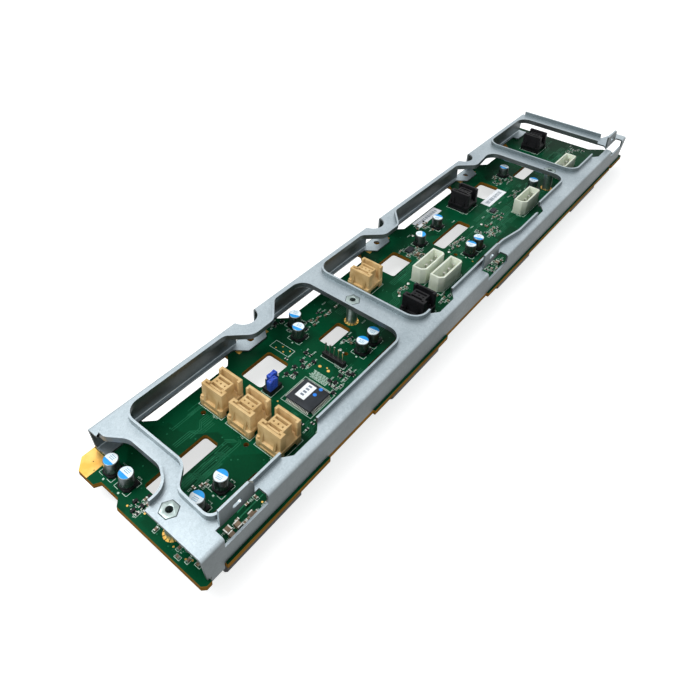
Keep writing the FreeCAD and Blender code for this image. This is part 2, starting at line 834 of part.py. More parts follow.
def controller_chip():
    x, y = chip_at
    half = chip_body / 2
    body = box((x - half, x + half), (y - half, y + half), (chip_standoff, chip_height))
    bounds = [(edge, edge.BoundBox) for edge in body.Edges]
    rims = [edge for edge, span in bounds if span.ZLength > chip_edge or span.ZMin > chip_height - 0.01]
    body = body.makeChamfer(chip_edge, rims)
    shoulder = chip_standoff + (chip_height - chip_standoff) / 2
    reach = lead_span / 2
    t = lead_thickness
    knee = half + (reach - half - lead_foot) / 2
    profile = [
        (half - chip_edge, shoulder), (knee, shoulder), (reach - lead_foot, t), (reach, t), (reach, 0),
        (reach - lead_foot, 0), (knee, shoulder - t), (half - chip_edge, shoulder - t),
    ]
    leads = []
    first = -(lead_count - 1) * lead_pitch / 2
    for turn in range(4):
        for k in range(lead_count):
            offset = first + k * lead_pitch
            points = [Vector(r, offset - lead_width / 2, z) for r, z in profile]
            lead = Part.Face(Part.makePolygon(points + points[:1])).extrude(Vector(0, lead_width, 0))
            lead.rotate(Vector(0, 0, 0), Vector(0, 0, 1), 90 * turn)
            lead.translate(Vector(x, y, 0))
            leads.append(lead)
    return body.fuse(leads)


def header_places(at, in_x, in_y):
    x = at[0] - (in_x - 1) * header_pitch / 2
    y = at[1] - (in_y - 1) * header_pitch / 2
    return [(x + i * header_pitch, y + k * header_pitch) for k in range(in_y) for i in range(in_x)]


def header_pins(places, rise):
    half = header_pin / 2
    return Part.makeCompound([
        box((x - half, x + half), (y - half, y + half), (header_block_height, rise)) for x, y in places
    ])


def header_block(places):
    half = header_pitch / 2
    x_span = (min(x for x, y in places) - half, max(x for x, y in places) + half)
    y_span = (min(y for x, y in places) - half, max(y for x, y in places) + half)
    return box(x_span, y_span, (0, header_block_height))


# A cap with a well over each of two neighbouring pins
def jumper_cap(pins):
    x = (pins[0][0] + pins[1][0]) / 2
    y = pins[0][1]
    bottom = header_block_height
    top = bottom + jumper_height
    half_x = jumper_length / 2
    half_y = jumper_width / 2
    cap = box((x - half_x, x + half_x), (y - half_y, y + half_y), (bottom, top))
    top_edges = [edge for edge in cap.Edges if edge.BoundBox.ZMin > top - 0.01]
    cap = cap.makeChamfer(jumper_chamfer, top_edges)
    groove, groove_depth = jumper_groove
    well = header_pin / 2 + jumper_clearance
    groove_x = (x - groove / 2, x + groove / 2)
    cuts = [
        box(groove_x, (y - half_y, y - half_y + groove_depth), (bottom + groove, top)),
        box(groove_x, (y + half_y - groove_depth, y + half_y), (bottom + groove, top)),
    ]
    for pin_x, pin_y in pins:
        cuts.append(box((pin_x - well, pin_x + well), (pin_y - well, pin_y + well),
                        (bottom, top)))
    return cap.cut(cuts)


def nodes():
    made = {"bracket": bracket(), "circuit_board": board()}
    for column in range(columns):
        for row in range(rows):
            at = on_column(column, first_column_x, first_row_y + row * row_pitch)
            made[f"drive_connector_{column + 1}_{row + 1}"] = drive_connector(at)
    for number, (column, row) in enumerate(cable_places, 1):
        at = on_column(column, first_cable_x, cable_rows_y[row])
        made[f"cable_connector_{number}"] = cable_connector(at)
    for number, place in enumerate(power_places, 1):
        at = on_column(*place)
        made[f"power_connector_{number}"] = power_connector(at)
        made[f"power_pins_{number}"] = Part.makeCompound(power_connector_pins(at))
    for number, place in enumerate(can_places, 1):
        made[f"capacitor_{number}"] = capacitor(on_column(*place))
    made["controller_chip"] = controller_chip()
    made["hex_standoff"] = hex_standoff()
    for number, at in enumerate(round_standoffs_at, 1):
        made[f"round_standoff_{number}"] = round_standoff(at)
    standoffs_at = [hex_standoff_at] + round_standoffs_at
    made["board_screws"] = Part.makeCompound([board_screw(at) for at in standoffs_at])
    places = header_places(on_column(*header_place), 1, header_rows)
    made["fan_header"] = header_block(places)
    made["fan_header_pins"] = header_pins(places, header_pin_rise)
    places = header_places(jumper_at, 3, 2)
    made["jumper_header"] = header_block(places)
    made["jumper_pins"] = header_pins(places, jumper_pin_rise)
    made["jumper_cap_1"] = jumper_cap(places[0:2])
    made["jumper_cap_2"] = jumper_cap(places[4:6])
    return made


def main():
    os.makedirs("parts", exist_ok=True)
    made = nodes()
    whole = Part.makeCompound(list(made.values())).BoundBox
    shift = Vector(-whole.Center.x, -whole.Center.y, -whole.ZMin)
    print("origin moved by", shift, "size", whole.XLength, whole.YLength, whole.ZLength)
    for name, shape in made.items():
        shape.translate(shift)
        shape.exportStep(f"parts/{name}.step")
        print(name, len(shape.Solids), "solids, valid", shape.isValid(), "volume", round(shape.Volume, 2))


main()
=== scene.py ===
import bpy
import bmesh
import json
import math
import random
from mathutils import Matrix, Vector


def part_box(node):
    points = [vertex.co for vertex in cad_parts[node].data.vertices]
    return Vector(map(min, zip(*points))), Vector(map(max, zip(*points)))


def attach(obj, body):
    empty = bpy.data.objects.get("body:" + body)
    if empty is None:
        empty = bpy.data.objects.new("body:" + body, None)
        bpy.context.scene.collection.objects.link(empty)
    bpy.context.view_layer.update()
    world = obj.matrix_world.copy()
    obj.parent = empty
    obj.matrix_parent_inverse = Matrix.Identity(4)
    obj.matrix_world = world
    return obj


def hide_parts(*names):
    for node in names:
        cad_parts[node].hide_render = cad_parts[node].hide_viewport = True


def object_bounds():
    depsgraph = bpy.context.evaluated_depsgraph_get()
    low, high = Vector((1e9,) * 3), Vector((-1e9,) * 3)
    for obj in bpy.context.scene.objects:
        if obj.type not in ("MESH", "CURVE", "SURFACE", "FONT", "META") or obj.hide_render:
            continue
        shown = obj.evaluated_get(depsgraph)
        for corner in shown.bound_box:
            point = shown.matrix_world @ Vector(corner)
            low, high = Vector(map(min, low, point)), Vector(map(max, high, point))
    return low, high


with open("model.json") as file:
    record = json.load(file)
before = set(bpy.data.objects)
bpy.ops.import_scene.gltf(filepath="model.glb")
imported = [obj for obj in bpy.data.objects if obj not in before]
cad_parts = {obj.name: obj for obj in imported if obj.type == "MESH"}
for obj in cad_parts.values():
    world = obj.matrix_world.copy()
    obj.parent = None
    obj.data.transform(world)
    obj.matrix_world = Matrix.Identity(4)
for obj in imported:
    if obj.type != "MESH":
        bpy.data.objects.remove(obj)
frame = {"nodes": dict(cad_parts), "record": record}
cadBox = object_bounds()
mm = 0.001
chance = random.Random(7)

# Places are in mm from the near end of the back wall (x), the outer face of the front wall (y)
# and the top of the circuit board (z), and are turned into the frame's metres.
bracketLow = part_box("bracket")[0]
boardLow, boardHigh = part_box("circuit_board")
bracketOverhang = 7.8 * mm      # the near front corner stands this far before the back wall
zero = Vector((bracketLow.x + bracketOverhang, bracketLow.y, boardHigh.z))
boardBottom = (boardLow.z - boardHigh.z) / mm
columnPitch = 107.0     # one drive to the next along the board
columns = 4
pinPitch = 2.54
pinHalf = 0.32
powerPinPitch = 5.08


def at(x, y, z=0.0):
    return zero + Vector((x, y, z)) * mm


def placeOf(nodeName):
    low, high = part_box(nodeName)
    return (low - zero) / mm, (high - zero) / mm


def colour(hexText):
    channels = [int(hexText[i:i + 2], 16) / 255 for i in (1, 3, 5)]
    linear = [c / 12.92 if c <= 0.04045 else ((c + 0.055) / 1.055) ** 2.4 for c in channels]
    return (*linear, 1.0)


def addNode(material, kind, settings=None, **inputs):
    node = material.node_tree.nodes.new(kind)
    for name, value in (settings or {}).items():
        setattr(node, name, value)
    for name, value in inputs.items():
        socket = node.inputs[int(name[1:])] if name[1:].isdigit() else node.inputs[name.replace("_", " ")]
        if isinstance(value, bpy.types.NodeSocket):
            material.node_tree.links.new(value, socket)
        else:
            socket.default_value = value
    return node


def newMaterial(name, **surface):
    material = bpy.data.materials.new(name)
    material.use_nodes = True
    material.node_tree.nodes.clear()
    shader = addNode(material, "ShaderNodeBsdfPrincipled", **surface)
    output = addNode(material, "ShaderNodeOutputMaterial")
    material.node_tree.links.new(shader.outputs[0], output.inputs[0])
    return material, shader


def connect(material, source, shader, socket):
    material.node_tree.links.new(source, shader.inputs[socket])


def objectPlace(material, scale=(1, 1, 1)):
    coords = addNode(material, "ShaderNodeTexCoord")
    mapping = addNode(material, "ShaderNodeMapping", Vector=coords.outputs["Object"], Scale=scale)
    return mapping.outputs[0]


def ramp(material, factor, stops):
    node = addNode(material, "ShaderNodeValToRGB", Fac=factor)
    elements = node.color_ramp.elements
    while len(elements) < len(stops):
        elements.new(0.5)
    for element, (position, value) in zip(elements, stops):
        element.position = position
        element.color = value
    return node.outputs[0]


def span(material, value, low, high, outLow, outHigh):
    node = addNode(material, "ShaderNodeMapRange", i0=value, i1=low, i2=high, i3=outLow, i4=outHigh)
    return node.outputs[0]


def mixColour(material, factor, first, second):
    node = addNode(material, "ShaderNodeMix", {"data_type": "RGBA"}, i0=factor, i6=first, i7=second)
    return node.outputs[2]


# How level a face lies: 1 on faces that look up or down, 0 on upright ones
def levelness(material):
    coords = addNode(material, "ShaderNodeTexCoord")
    normal = addNode(material, "ShaderNodeSeparateXYZ", Vector=coords.outputs["Normal"])
    return addNode(material, "ShaderNodeMath", {"operation": "ABSOLUTE"}, i0=normal.outputs[2]).outputs[0]


def bump(material, height, distance, strength=1.0):
    node = addNode(material, "ShaderNodeBump", Height=height, Distance=distance, Strength=strength)
    return node.outputs[0]


# Hot-dip galvanised steel strip, rolled: pale blue-grey zinc with a fine mottled grain and faint flattened
# spangle.
# Upright walls, folds and lips are painted a darker, a little warmer grey: painted shade, not a colour of
# the zinc.
galvanised = {
    "light": "#C6D2D8", "dark": "#97A4AB", "upright": "#5E6464", "spangleSize": 1.1, "grainSize": 0.55,
    "patchesPerMetre": 45.0, "grainShare": 0.82, "patchShare": 0.4, "uprightShadeShare": 0.85,
    "roughness": (0.36, 0.52), "grainDepth": 0.00005,
}


def galvanisedSteel():
    look = galvanised
    material, shader = newMaterial("galvanisedSteel", Metallic=1.0)
    place = objectPlace(material)
    spangle = addNode(material, "ShaderNodeTexVoronoi", Vector=place, Scale=1000 / look["spangleSize"])
    grain = addNode(material, "ShaderNodeTexNoise", Vector=place, Scale=1000 / look["grainSize"],
                    Detail=5.0, Roughness=0.75)
    patches = addNode(material, "ShaderNodeTexNoise", Vector=place, Scale=look["patchesPerMetre"],
                      Detail=4.0)
    shade = mixColour(material, look["grainShare"], spangle.outputs["Color"], grain.outputs[0])
    shade = mixColour(material, look["patchShare"], shade, patches.outputs[0])
    face = ramp(material, shade, [(0.30, colour(look["dark"])), (0.70, colour(look["light"]))])
    # Painted shade: faces that stand upright are mixed towards the darker upright grey, as the shade on
    # walls and lips
    slope = span(material, levelness(material), 0.1, 0.9, look["uprightShadeShare"], 0.0)
    base = mixColour(material, slope, face, colour(look["upright"]))
    connect(material, base, shader, "Base Color")
    low, high = look["roughness"]
    connect(material, span(material, shade, 0.3, 0.7, high, low), shader, "Roughness")
    connect(material, bump(material, grain.outputs[0], look["grainDepth"], 0.4), shader, "Normal")
    return material


# Glass-fibre laminate (FR4) under semi-gloss green solder mask. The faces are mask over
# copper, so they vary softly between bare laminate and copper pours; the routed edges show
# the golden brown laminate in thin layers.
laminate = {
    "mask": "#033F25", "maskDark": "#022B18", "maskPour": "#055033",
    "edge": "#8C6420", "edgeDark": "#4E340E", "pourSize": 14.0, "layer": 0.25,
    "weavesPerMetre": 1100.0, "cloudsPerMetre": 22.0, "weaveDepth": 0.00003, "gloss": 0.04,
    "edgeRoughness": 0.75, "faceRoughness": 0.36, "cloudShare": 0.55, "weaveShare": 0.15,
}


def solderMask():
    look = laminate
    material, shader = newMaterial("greenSolderMask", IOR=1.5, Specular_IOR_Level=look["gloss"])
    place = objectPlace(material)
    pour = addNode(material, "ShaderNodeTexVoronoi", {"feature": "SMOOTH_F1", "distance": "CHEBYCHEV"},
                   Vector=place, Scale=1000 / look["pourSize"], Smoothness=0.1)
    weave = addNode(material, "ShaderNodeTexNoise", Vector=place, Scale=look["weavesPerMetre"], Detail=2.0)
    cloud = addNode(material, "ShaderNodeTexNoise", Vector=place, Scale=look["cloudsPerMetre"], Detail=4.0)
    tone = mixColour(material, look["cloudShare"], pour.outputs["Color"], cloud.outputs[0])
    tone = mixColour(material, look["weaveShare"], tone, weave.outputs[0])
    face = ramp(material, tone, [(0.25, colour(look["maskDark"])), (0.5, colour(look["mask"])),
                                 (0.8, colour(look["maskPour"]))])
    layered = objectPlace(material, (60, 60, 1 / (look["layer"] * mm)))
    layers = addNode(material, "ShaderNodeTexNoise", Vector=layered, Scale=1.0, Detail=2.0)
    edge = ramp(material, layers.outputs[0],
                [(0.35, colour(look["edgeDark"])), (0.65, colour(look["edge"]))])
    isFace = span(material, levelness(material), 0.45, 0.55, 0.0, 1.0)
    connect(material, mixColour(material, isFace, edge, face), shader, "Base Color")
    connect(material, span(material, isFace, 0.0, 1.0, look["edgeRoughness"], look["faceRoughness"]),
            shader, "Roughness")
    connect(material, bump(material, weave.outputs[0], look["weaveDepth"], 0.4), shader, "Normal")
    return material


# A moulded plastic, a cured ink or a pressed ceramic: one body colour with a slow drift between
# two tones, and the fine matt texture of the mould or the screen.
moulded = {"grainSize": 0.35, "driftsPerMetre": 180.0, "grainDepth": 0.00003, "spread": (-0.06, 0.08)}


def mouldedPlastic(name, light, dark, roughness, gloss=0.3, subsurface=0.0):
    look = moulded
    material, shader = newMaterial(name, IOR=1.5, Specular_IOR_Level=gloss, Subsurface_Weight=subsurface)
    shader.inputs["Subsurface Radius"].default_value = (1.0 * mm, 0.9 * mm, 0.7 * mm)
    place = objectPlace(material)
    drift = addNode(material, "ShaderNodeTexNoise", Vector=place, Scale=look["driftsPerMetre"], Detail=3.0)
    texture = addNode(material, "ShaderNodeTexNoise", Vector=place, Scale=1000 / look["grainSize"],
                      Detail=2.0)
    connect(material, ramp(material, drift.outputs[0], [(0.3, colour(dark)), (0.7, colour(light))]),
            shader, "Base Color")
    low, high = [roughness + change for change in look["spread"]]
    connect(material, span(material, texture.outputs[0], 0.3, 0.7, low, high), shader, "Roughness")
    connect(material, bump(material, texture.outputs[0], look["grainDepth"], 0.3), shader, "Normal")
    return material


# A plated or drawn metal, with small clouds in its gloss
plated = {"cloudDepth": 0.00002, "spread": (0.1, -0.05)}


def platedMetal(name, light, dark, roughness, cloudSize=1.5):
    look = plated
    material, shader = newMaterial(name, Metallic=1.0)
    cloud = addNode(material, "ShaderNodeTexNoise", Vector=objectPlace(material), Scale=1000 / cloudSize,
                    Detail=4.0)
    connect(material, ramp(material, cloud.outputs[0], [(0.3, colour(dark)), (0.7, colour(light))]),
            shader, "Base Color")
    low, high = [roughness + change for change in look["spread"]]
    connect(material, span(material, cloud.outputs[0], 0.3, 0.7, low, high), shader, "Roughness")
    connect(material, bump(material, cloud.outputs[0], look["cloudDepth"], 0.2), shader, "Normal")
    return material


steel = galvanisedSteel()
mask = solderMask()

# Solder mask cured over raised copper: a little lighter than over the bare laminate
maskedCopper = mouldedPlastic("solderMaskOverCopper", "#216F4E", "#155A3C", 0.34, gloss=0.12)
# Injection-moulded housings of the connectors, headers and jumper caps
blackPlastic = mouldedPlastic("blackGlassFilledNylon", "#17171A", "#0A0A0C", 0.42, gloss=0.22)
creamPlastic = mouldedPlastic("creamLiquidCrystalPolymer", "#D9BC89", "#B99762", 0.45, subsurface=0.05)
whiteNylon = mouldedPlastic("naturalNylon", "#DFE5D6", "#CBD2C1", 0.35, subsurface=0.3)
bluePlastic = mouldedPlastic("bluePolyester", "#3459C4", "#233F9E", 0.35)
# Transfer-moulded epoxy of the chips and of the small black parts
epoxy = mouldedPlastic("mouldedEpoxy", "#2F343A", "#1F2327", 0.45, gloss=0.22)
blackEpoxy = mouldedPlastic("blackEpoxy", "#15171A", "#0B0C0E", 0.4, gloss=0.2)
# Fired ceramic of the small capacitors
brownCeramic = mouldedPlastic("brownCeramic", "#84705A", "#5F4D3B", 0.5)
# Coated paper labels and the inks printed on label, board and chip
whitePaper = mouldedPlastic("whiteLabelPaper", "#F4F6F8", "#E6EAEE", 0.6)
greyInk = mouldedPlastic("greyLabelInk", "#7C8894", "#66727E", 0.6)
whiteInk = mouldedPlastic("whiteSilkscreenInk", "#D6E8DC", "#AECABA", 0.6)
dotBlue = mouldedPlastic("bluePaintDot", "#2C8AF0", "#1D74DC", 0.3)
# Lacquer and print on the tops of the capacitor cans
capWhite = mouldedPlastic("whiteCapPrint", "#EFF7FB", "#DDEBF2", 0.4)
capBlue = mouldedPlastic("blueCapPrint", "#2FA7EE", "#1B8FDC", 0.38)
capInk = mouldedPlastic("tealCapPrint", "#4E9CBE", "#3A88AC", 0.45)
# The seat line round a pressed-in standoff head: a dark ring of painted shade
seatShadow = mouldedPlastic("paintedSeatShade", "#4A5152", "#394041", 0.6, gloss=0.1)
# Electroplated tin on leads and pins, immersion gold on bare copper, zinc on turned steel, and
# aluminium drawn into cans
tin = platedMetal("brightTin", "#D8D8D2", "#ABACA6", 0.3)
gold = platedMetal("immersionGold", "#F8CB78", "#E2AB52", 0.38, 6.0)
zincHardware = platedMetal("zincPlatedSteel", "#B4C3C1", "#96A5A2", 0.4)
aluminium = platedMetal("drawnAluminium", "#838B8C", "#5F6768", 0.3)
print("stage: materials")

nodeFinishes = {
    "zinc_coated_steel": steel, "board_laminate": mask, "black_plastic": blackPlastic,
    "cream_plastic": creamPlastic, "white_nylon": whiteNylon, "plated_pins": tin,
    "capacitor_can": aluminium, "chip_epoxy": epoxy, "plated_hardware": zincHardware,
    "blue_plastic": bluePlastic,
}
slotOf = {part["node"]: part["material_slot"] for part in frame["record"]["subparts"]}
for nodeName, node in frame["nodes"].items():
    node.data.materials.clear()
    node.data.materials.append(nodeFinishes[slotOf[nodeName]])


def smoothByAngle(mesh, limit=32):
    for face in mesh.faces:
        face.smooth = True
    for edge in mesh.edges:
        edge.smooth = edge.calc_face_angle(math.pi) < math.radians(limit)


def newPiece(name, mesh, finishes, stands=()):
    smoothByAngle(mesh)
    data = bpy.data.meshes.new(name)
    mesh.to_mesh(data)
    mesh.free()
    for finish in finishes:
        data.materials.append(finish)
    piece = bpy.data.objects.new(name, data)
    bpy.context.scene.collection.objects.link(piece)
    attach(piece, "root")
    if stands:
        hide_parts(*stands)


def paint(made, index):
    faces = {face for vert in made["verts"] for face in vert.link_faces}
    for face in faces:
        face.material_index = index


# Adds the faces of a mesh made apart, and frees it
def joinInto(mesh, part):
    loose = bpy.data.meshes.new("loose")
    part.to_mesh(loose)
    part.free()
    mesh.from_mesh(loose)
    bpy.data.meshes.remove(loose)


def addBlock(mesh, x, y, z, index=0, turn=0.0):
    middle = at((x[0] + x[1]) / 2, (y[0] + y[1]) / 2, (z[0] + z[1]) / 2)
    scale = Matrix.Diagonal((x[1] - x[0], y[1] - y[0], z[1] - z[0], 1 / mm)) * mm
    place = Matrix.Translation(middle) @ Matrix.Rotation(turn, 4, "Z") @ scale
    made = bmesh.ops.create_cube(mesh, size=1.0, matrix=place)
    paint(made, index)
    return made


def addRound(mesh, x, y, z, radius, index=0, segments=32, topRadius=None):
    top = radius if topRadius is None else topRadius
    made = bmesh.ops.create_cone(
        mesh, cap_ends=True, segments=segments, radius1=radius * mm, radius2=top * mm,
        depth=(z[1] - z[0]) * mm, matrix=Matrix.Translation(at(x, y, (z[0] + z[1]) / 2)))
    paint(made, index)
    return made


def bevelEdges(mesh, edges, width, segments=2):
    bmesh.ops.bevel(mesh, geom=edges, offset=width * mm, offset_type="OFFSET", segments=segments,
                    profile=0.5, affect="EDGES", clamp_overlap=True, material=-1)


# A copy of a CAD node with its edges eased, as moulding leaves them
easedEdges = {"cable_connector": 0.16, "power_connector": 0.25, "jumper_cap": 0.12, "jumper_header": 0.12,
              "fan_header": 0.12}
sharpAngle = math.radians(35)

# In the bracket's copy the thin leftover of the lip behind the near cut is drawn back into the
# lip, and the near front corner of the first window is drawn out to one corner.
lipMends = {
    "prong": ((-20.0, -5.0), (67.0, 69.2), (12.5, 40.0)), "prongReach": 7.5,
    "corner": ((2.9, 18.95), (6.9, 17.0), (12.7, 40.0)), "cornerEnd": 18.9, "cornerSlope": 0.274,
}


def isWithin(place, spans):
    return all(low < value < high for value, (low, high) in zip(place, spans))


def mendLips(mesh):
    look = lipMends
    for vert in mesh.verts:
        place = (vert.co - zero) / mm
        if isWithin(place, look["prong"]):
            vert.co.x += look["prongReach"] * mm
        if isWithin(place, look["corner"]):
            vert.co.y += (place.x - look["cornerEnd"]) * look["cornerSlope"] * mm


def easedCopy(nodeName, width):
    mesh = bmesh.new()
    mesh.from_mesh(frame["nodes"][nodeName].data)
    bmesh.ops.remove_doubles(mesh, verts=mesh.verts, dist=0.002 * mm)
    bmesh.ops.dissolve_limit(mesh, angle_limit=math.radians(1), verts=mesh.verts, edges=mesh.edges)
    if width:
        sharp = [edge for edge in mesh.edges if edge.is_manifold and edge.calc_face_angle(0) > sharpAngle]
        bevelEdges(mesh, sharp, width)
    else:
        mendLips(mesh)
    slotName = slotOf[nodeName]
    newPiece(nodeName + "_body", mesh, [nodeFinishes[slotName]], [nodeName])


for nodeName in list(frame["nodes"]):
    for start, width in easedEdges.items():
        if nodeName.startswith(start) and not nodeName.endswith("pins"):
            easedCopy(nodeName, width)
easedCopy("bracket", 0)     # pressed sheet keeps its edges
print("stage: eased edges")


# Hexagonal heads of the self-clinching standoffs, slightly proud of the sheet, each in a dark ring of
# painted shade at its seat. Their plan is that of the near standoff's own head.
standoffHead = {"rise": 0.22, "bevel": 0.18, "sunk": 0.1, "seatScale": 1.08, "seatRise": 0.03}


def addHead(mesh, place, scale, rise, index):
    look = standoffHead
    head = bmesh.new()
    head.from_mesh(frame["nodes"]["hex_standoff"].data)
    bmesh.ops.remove_doubles(head, verts=head.verts, dist=0.002 * mm)
    top = max(vert.co.z for vert in head.verts)
    bmesh.ops.bisect_plane(head, geom=head.verts[:] + head.edges[:] + head.faces[:],
                           plane_co=(0, 0, top - look["sunk"] * mm), plane_no=(0, 0, -1), clear_outer=True)
    bmesh.ops.dissolve_limit(head, angle_limit=math.radians(1), verts=head.verts, edges=head.edges)
    middle = sum(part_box("hex_standoff"), Vector()) / 2
    upper = [vert for vert in head.verts if vert.co.z > top - 0.01 * mm]
    bmesh.ops.translate(head, verts=upper, vec=(0, 0, rise * mm))
    if index == 0:
        rim = [edge for edge in head.edges if edge.is_manifold and edge.calc_face_angle(0) > math.radians(50)
               and all(vert in upper for vert in edge.verts)]
        bevelEdges(head, rim, look["bevel"])
    for face in head.faces:
        face.material_index = index
    for vert in head.verts:
        vert.co.x = place.x + (vert.co.x - middle.x) * scale
        vert.co.y = place.y + (vert.co.y - middle.y) * scale
    joinInto(mesh, head)


def makeStandoffHeads():
    look = standoffHead
    mesh = bmesh.new()
    for nodeName in ("hex_standoff", "round_standoff_1", "round_standoff_2"):
        place = sum(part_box(nodeName), Vector()) / 2
        addHead(mesh, place, look["seatScale"], look["seatRise"], 1)
        addHead(mesh, place, 1.0, look["rise"], 0)
    newPiece("standoffHeads", mesh, [zincHardware, seatShadow])


makeStandoffHeads()


# The strips of board that lead up to the long front openings
frontStrip = {"x": (4.3, 37.2), "y": (9.2, 12.2), "sink": 0.002}


def makeFrontStrips():
    look = frontStrip
    mesh = bmesh.new()
    for column in range(columns):
        x = [edge + column * columnPitch for edge in look["x"]]
        addBlock(mesh, x, look["y"], (boardBottom, -look["sink"]))
    newPiece("frontStrips", mesh, [mask])


makeFrontStrips()


# Aluminium electrolytic capacitors: moulded base, rolled can with a printed end
capacitor = {
    "canRadius": 3.15, "neckRadius": 2.9, "baseTop": 1.1, "neckTop": 1.9, "top": 7.2, "rim": 0.35,
    "corner": 1.4, "printRadius": 2.85, "printRise": 0.02, "segment": 0.36, "facets": 48,
    "barRows": 3, "barsInRow": 4, "firstRow": -0.2, "rowStep": 0.75, "barSpan": 2.6, "barWidth": 0.3,
    "barLength": (0.35, 0.55),
    "turn": 10, "turned": {1: 180, 2: 180, 5: 200, 6: 190, 9: -60, 11: 200, 13: 180},
}


# The coloured segment of a can's top: a thin disc cut off along a chord
def addSegment(mesh, x, y, z, turn):
    look = capacitor
    radius = look["printRadius"] * mm
    disc = bmesh.new()
    bmesh.ops.create_cone(
        disc, cap_ends=True, segments=look["facets"], radius1=radius, radius2=radius, depth=0.06 * mm,
        matrix=Matrix.Translation((0, 0, z * mm)))
    chord = radius * (1 - 2 * look["segment"])
    sliced = bmesh.ops.bisect_plane(disc, geom=disc.verts[:] + disc.edges[:] + disc.faces[:],
                                    plane_co=(chord, 0, 0), plane_no=(1, 0, 0), clear_inner=True)
    rim = [edge for edge in sliced["geom_cut"] if isinstance(edge, bmesh.types.BMEdge)]
    bmesh.ops.edgeloop_fill(disc, edges=rim)
    for face in disc.faces:
        face.material_index = 3
    bmesh.ops.rotate(disc, verts=disc.verts, matrix=Matrix.Rotation(turn, 3, "Z"))
    bmesh.ops.translate(disc, verts=disc.verts, vec=at(x, y))
    joinInto(mesh, disc)


def capacitorPrint(mesh, x, y, top, turn):
    look = capacitor
    surface = top + look["printRise"]
    addRound(mesh, x, y, (top - 0.05, surface), look["printRadius"], 2, look["facets"])
    addSegment(mesh, x, y, surface, turn)
    half = look["barWidth"] / 2
    for row in range(look["barRows"]):
        away = look["firstRow"] - row * look["rowStep"]
        for step in range(look["barsInRow"]):
            along = (step - (look["barsInRow"] - 1) / 2) * look["barSpan"] / look["barsInRow"]
            barX = x + away * math.cos(turn) - along * math.sin(turn)
            barY = y + away * math.sin(turn) + along * math.cos(turn)
            length = chance.uniform(*look["barLength"]) / 2
            addBlock(mesh, (barX - half, barX + half), (barY - length, barY + length),
                     (top, surface + 0.02), 4, turn)


def makeCapacitor(nodeName):
    look = capacitor
    low, high = placeOf(nodeName)
    x, y = (low.x + high.x) / 2, (low.y + high.y) / 2
    mesh = bmesh.new()
    half = (high.x - low.x) / 2
    base = addBlock(mesh, (x - half, x + half), (y - half, y + half), (0, look["baseTop"]), 1)
    upright = {edge for vert in base["verts"] for edge in vert.link_edges
               if abs(edge.verts[0].co.z - edge.verts[1].co.z) > 0.5 * mm}
    bevelEdges(mesh, [edge for edge in upright if edge.verts[0].co.x < at(x, y).x], look["corner"], 1)
    addRound(mesh, x, y, (look["baseTop"] - 0.1, look["neckTop"]), look["neckRadius"], 0, look["facets"],
             look["canRadius"])
    can = addRound(mesh, x, y, (look["neckTop"], look["top"]), look["canRadius"], 0, look["facets"])
    rim = {edge for vert in can["verts"] for edge in vert.link_edges
           if min(end.co.z for end in edge.verts) > at(x, y, look["top"] - 0.1).z}
    bevelEdges(mesh, list(rim), look["rim"], 3)
    number = int(nodeName.split("_")[-1])
    capacitorPrint(mesh, x, y, look["top"], math.radians(look["turned"].get(number, look["turn"])))
    newPiece(nodeName + "_can", mesh, [aluminium, blackPlastic, capWhite, capBlue, capInk],
             [nodeName])


for nodeName in list(frame["nodes"]):
    if nodeName.startswith("capacitor_"):
        makeCapacitor(nodeName)
print("stage: capacitors")


# Controller chip: moulded body, tinned gull-wing leads, a white label and two paint dots. Each lead
# is a shoulder, a drop and a foot, given as its reach from the body's middle and its height.
chip = {
    "body": 14.0, "bottom": 0.1, "top": 1.5, "edge": 0.3, "leads": 16, "pitch": 0.8, "leadWidth": 0.36,
    "lead": [(6.79, 7.4, (0.68, 0.86)), (7.3, 7.5, (0.1, 0.84)), (7.3, 8.2, (0.0, 0.16))],
    "label": (-3.7, 5.5, -0.6, 4.6), "bars": 4, "firstBar": 1.6, "barStep": 1.9, "barWidth": 1.1,
    "barY": (1.2, 3.0), "dots": [(1.8, -2.4), (5.9, -2.6)], "dotRadius": 0.9, "printRise": 0.06,
}


def makeChip():
    look = chip
    low, high = placeOf("controller_chip")
    x, y = (low.x + high.x) / 2, (low.y + high.y) / 2
    mesh = bmesh.new()
    half = look["body"] / 2
    top = look["top"]
    body = addBlock(mesh, (x - half, x + half), (y - half, y + half), (look["bottom"], top))
    bevelEdges(mesh, list({edge for vert in body["verts"] for edge in vert.link_edges}), look["edge"])
    left, right, front, back = look["label"]
    printed = (top - 0.1, top + look["printRise"])
    addBlock(mesh, (x + left, x + right), (y + front, y + back), printed, 2)
    for k in range(look["bars"]):
        bar = x + left + look["firstBar"] + k * look["barStep"]
        barY = [y + edge for edge in look["barY"]]
        addBlock(mesh, (bar, bar + look["barWidth"]), barY, (top, top + look["printRise"] + 0.02), 3)
    for dotX, dotY in look["dots"]:
        addRound(mesh, x + dotX, y + dotY, printed, look["dotRadius"], 4, 24)
    width = look["leadWidth"] / 2
    for k in range(look["leads"]):
        along = (k - (look["leads"] - 1) / 2) * look["pitch"]
        for side in (-1, 1):
            for start, end, z in look["lead"]:
                near, far = sorted((side * start, side * end))
                addBlock(mesh, (x + along - width, x + along + width), (y + near, y + far), z, 1)
                addBlock(mesh, (x + near, x + far), (y + along - width, y + along + width), z, 1)
    newPiece("controllerChipBody", mesh, [epoxy, tin, whitePaper, greyInk, dotBlue],
             ["controller_chip"])


makeChip()
print("stage: chip")


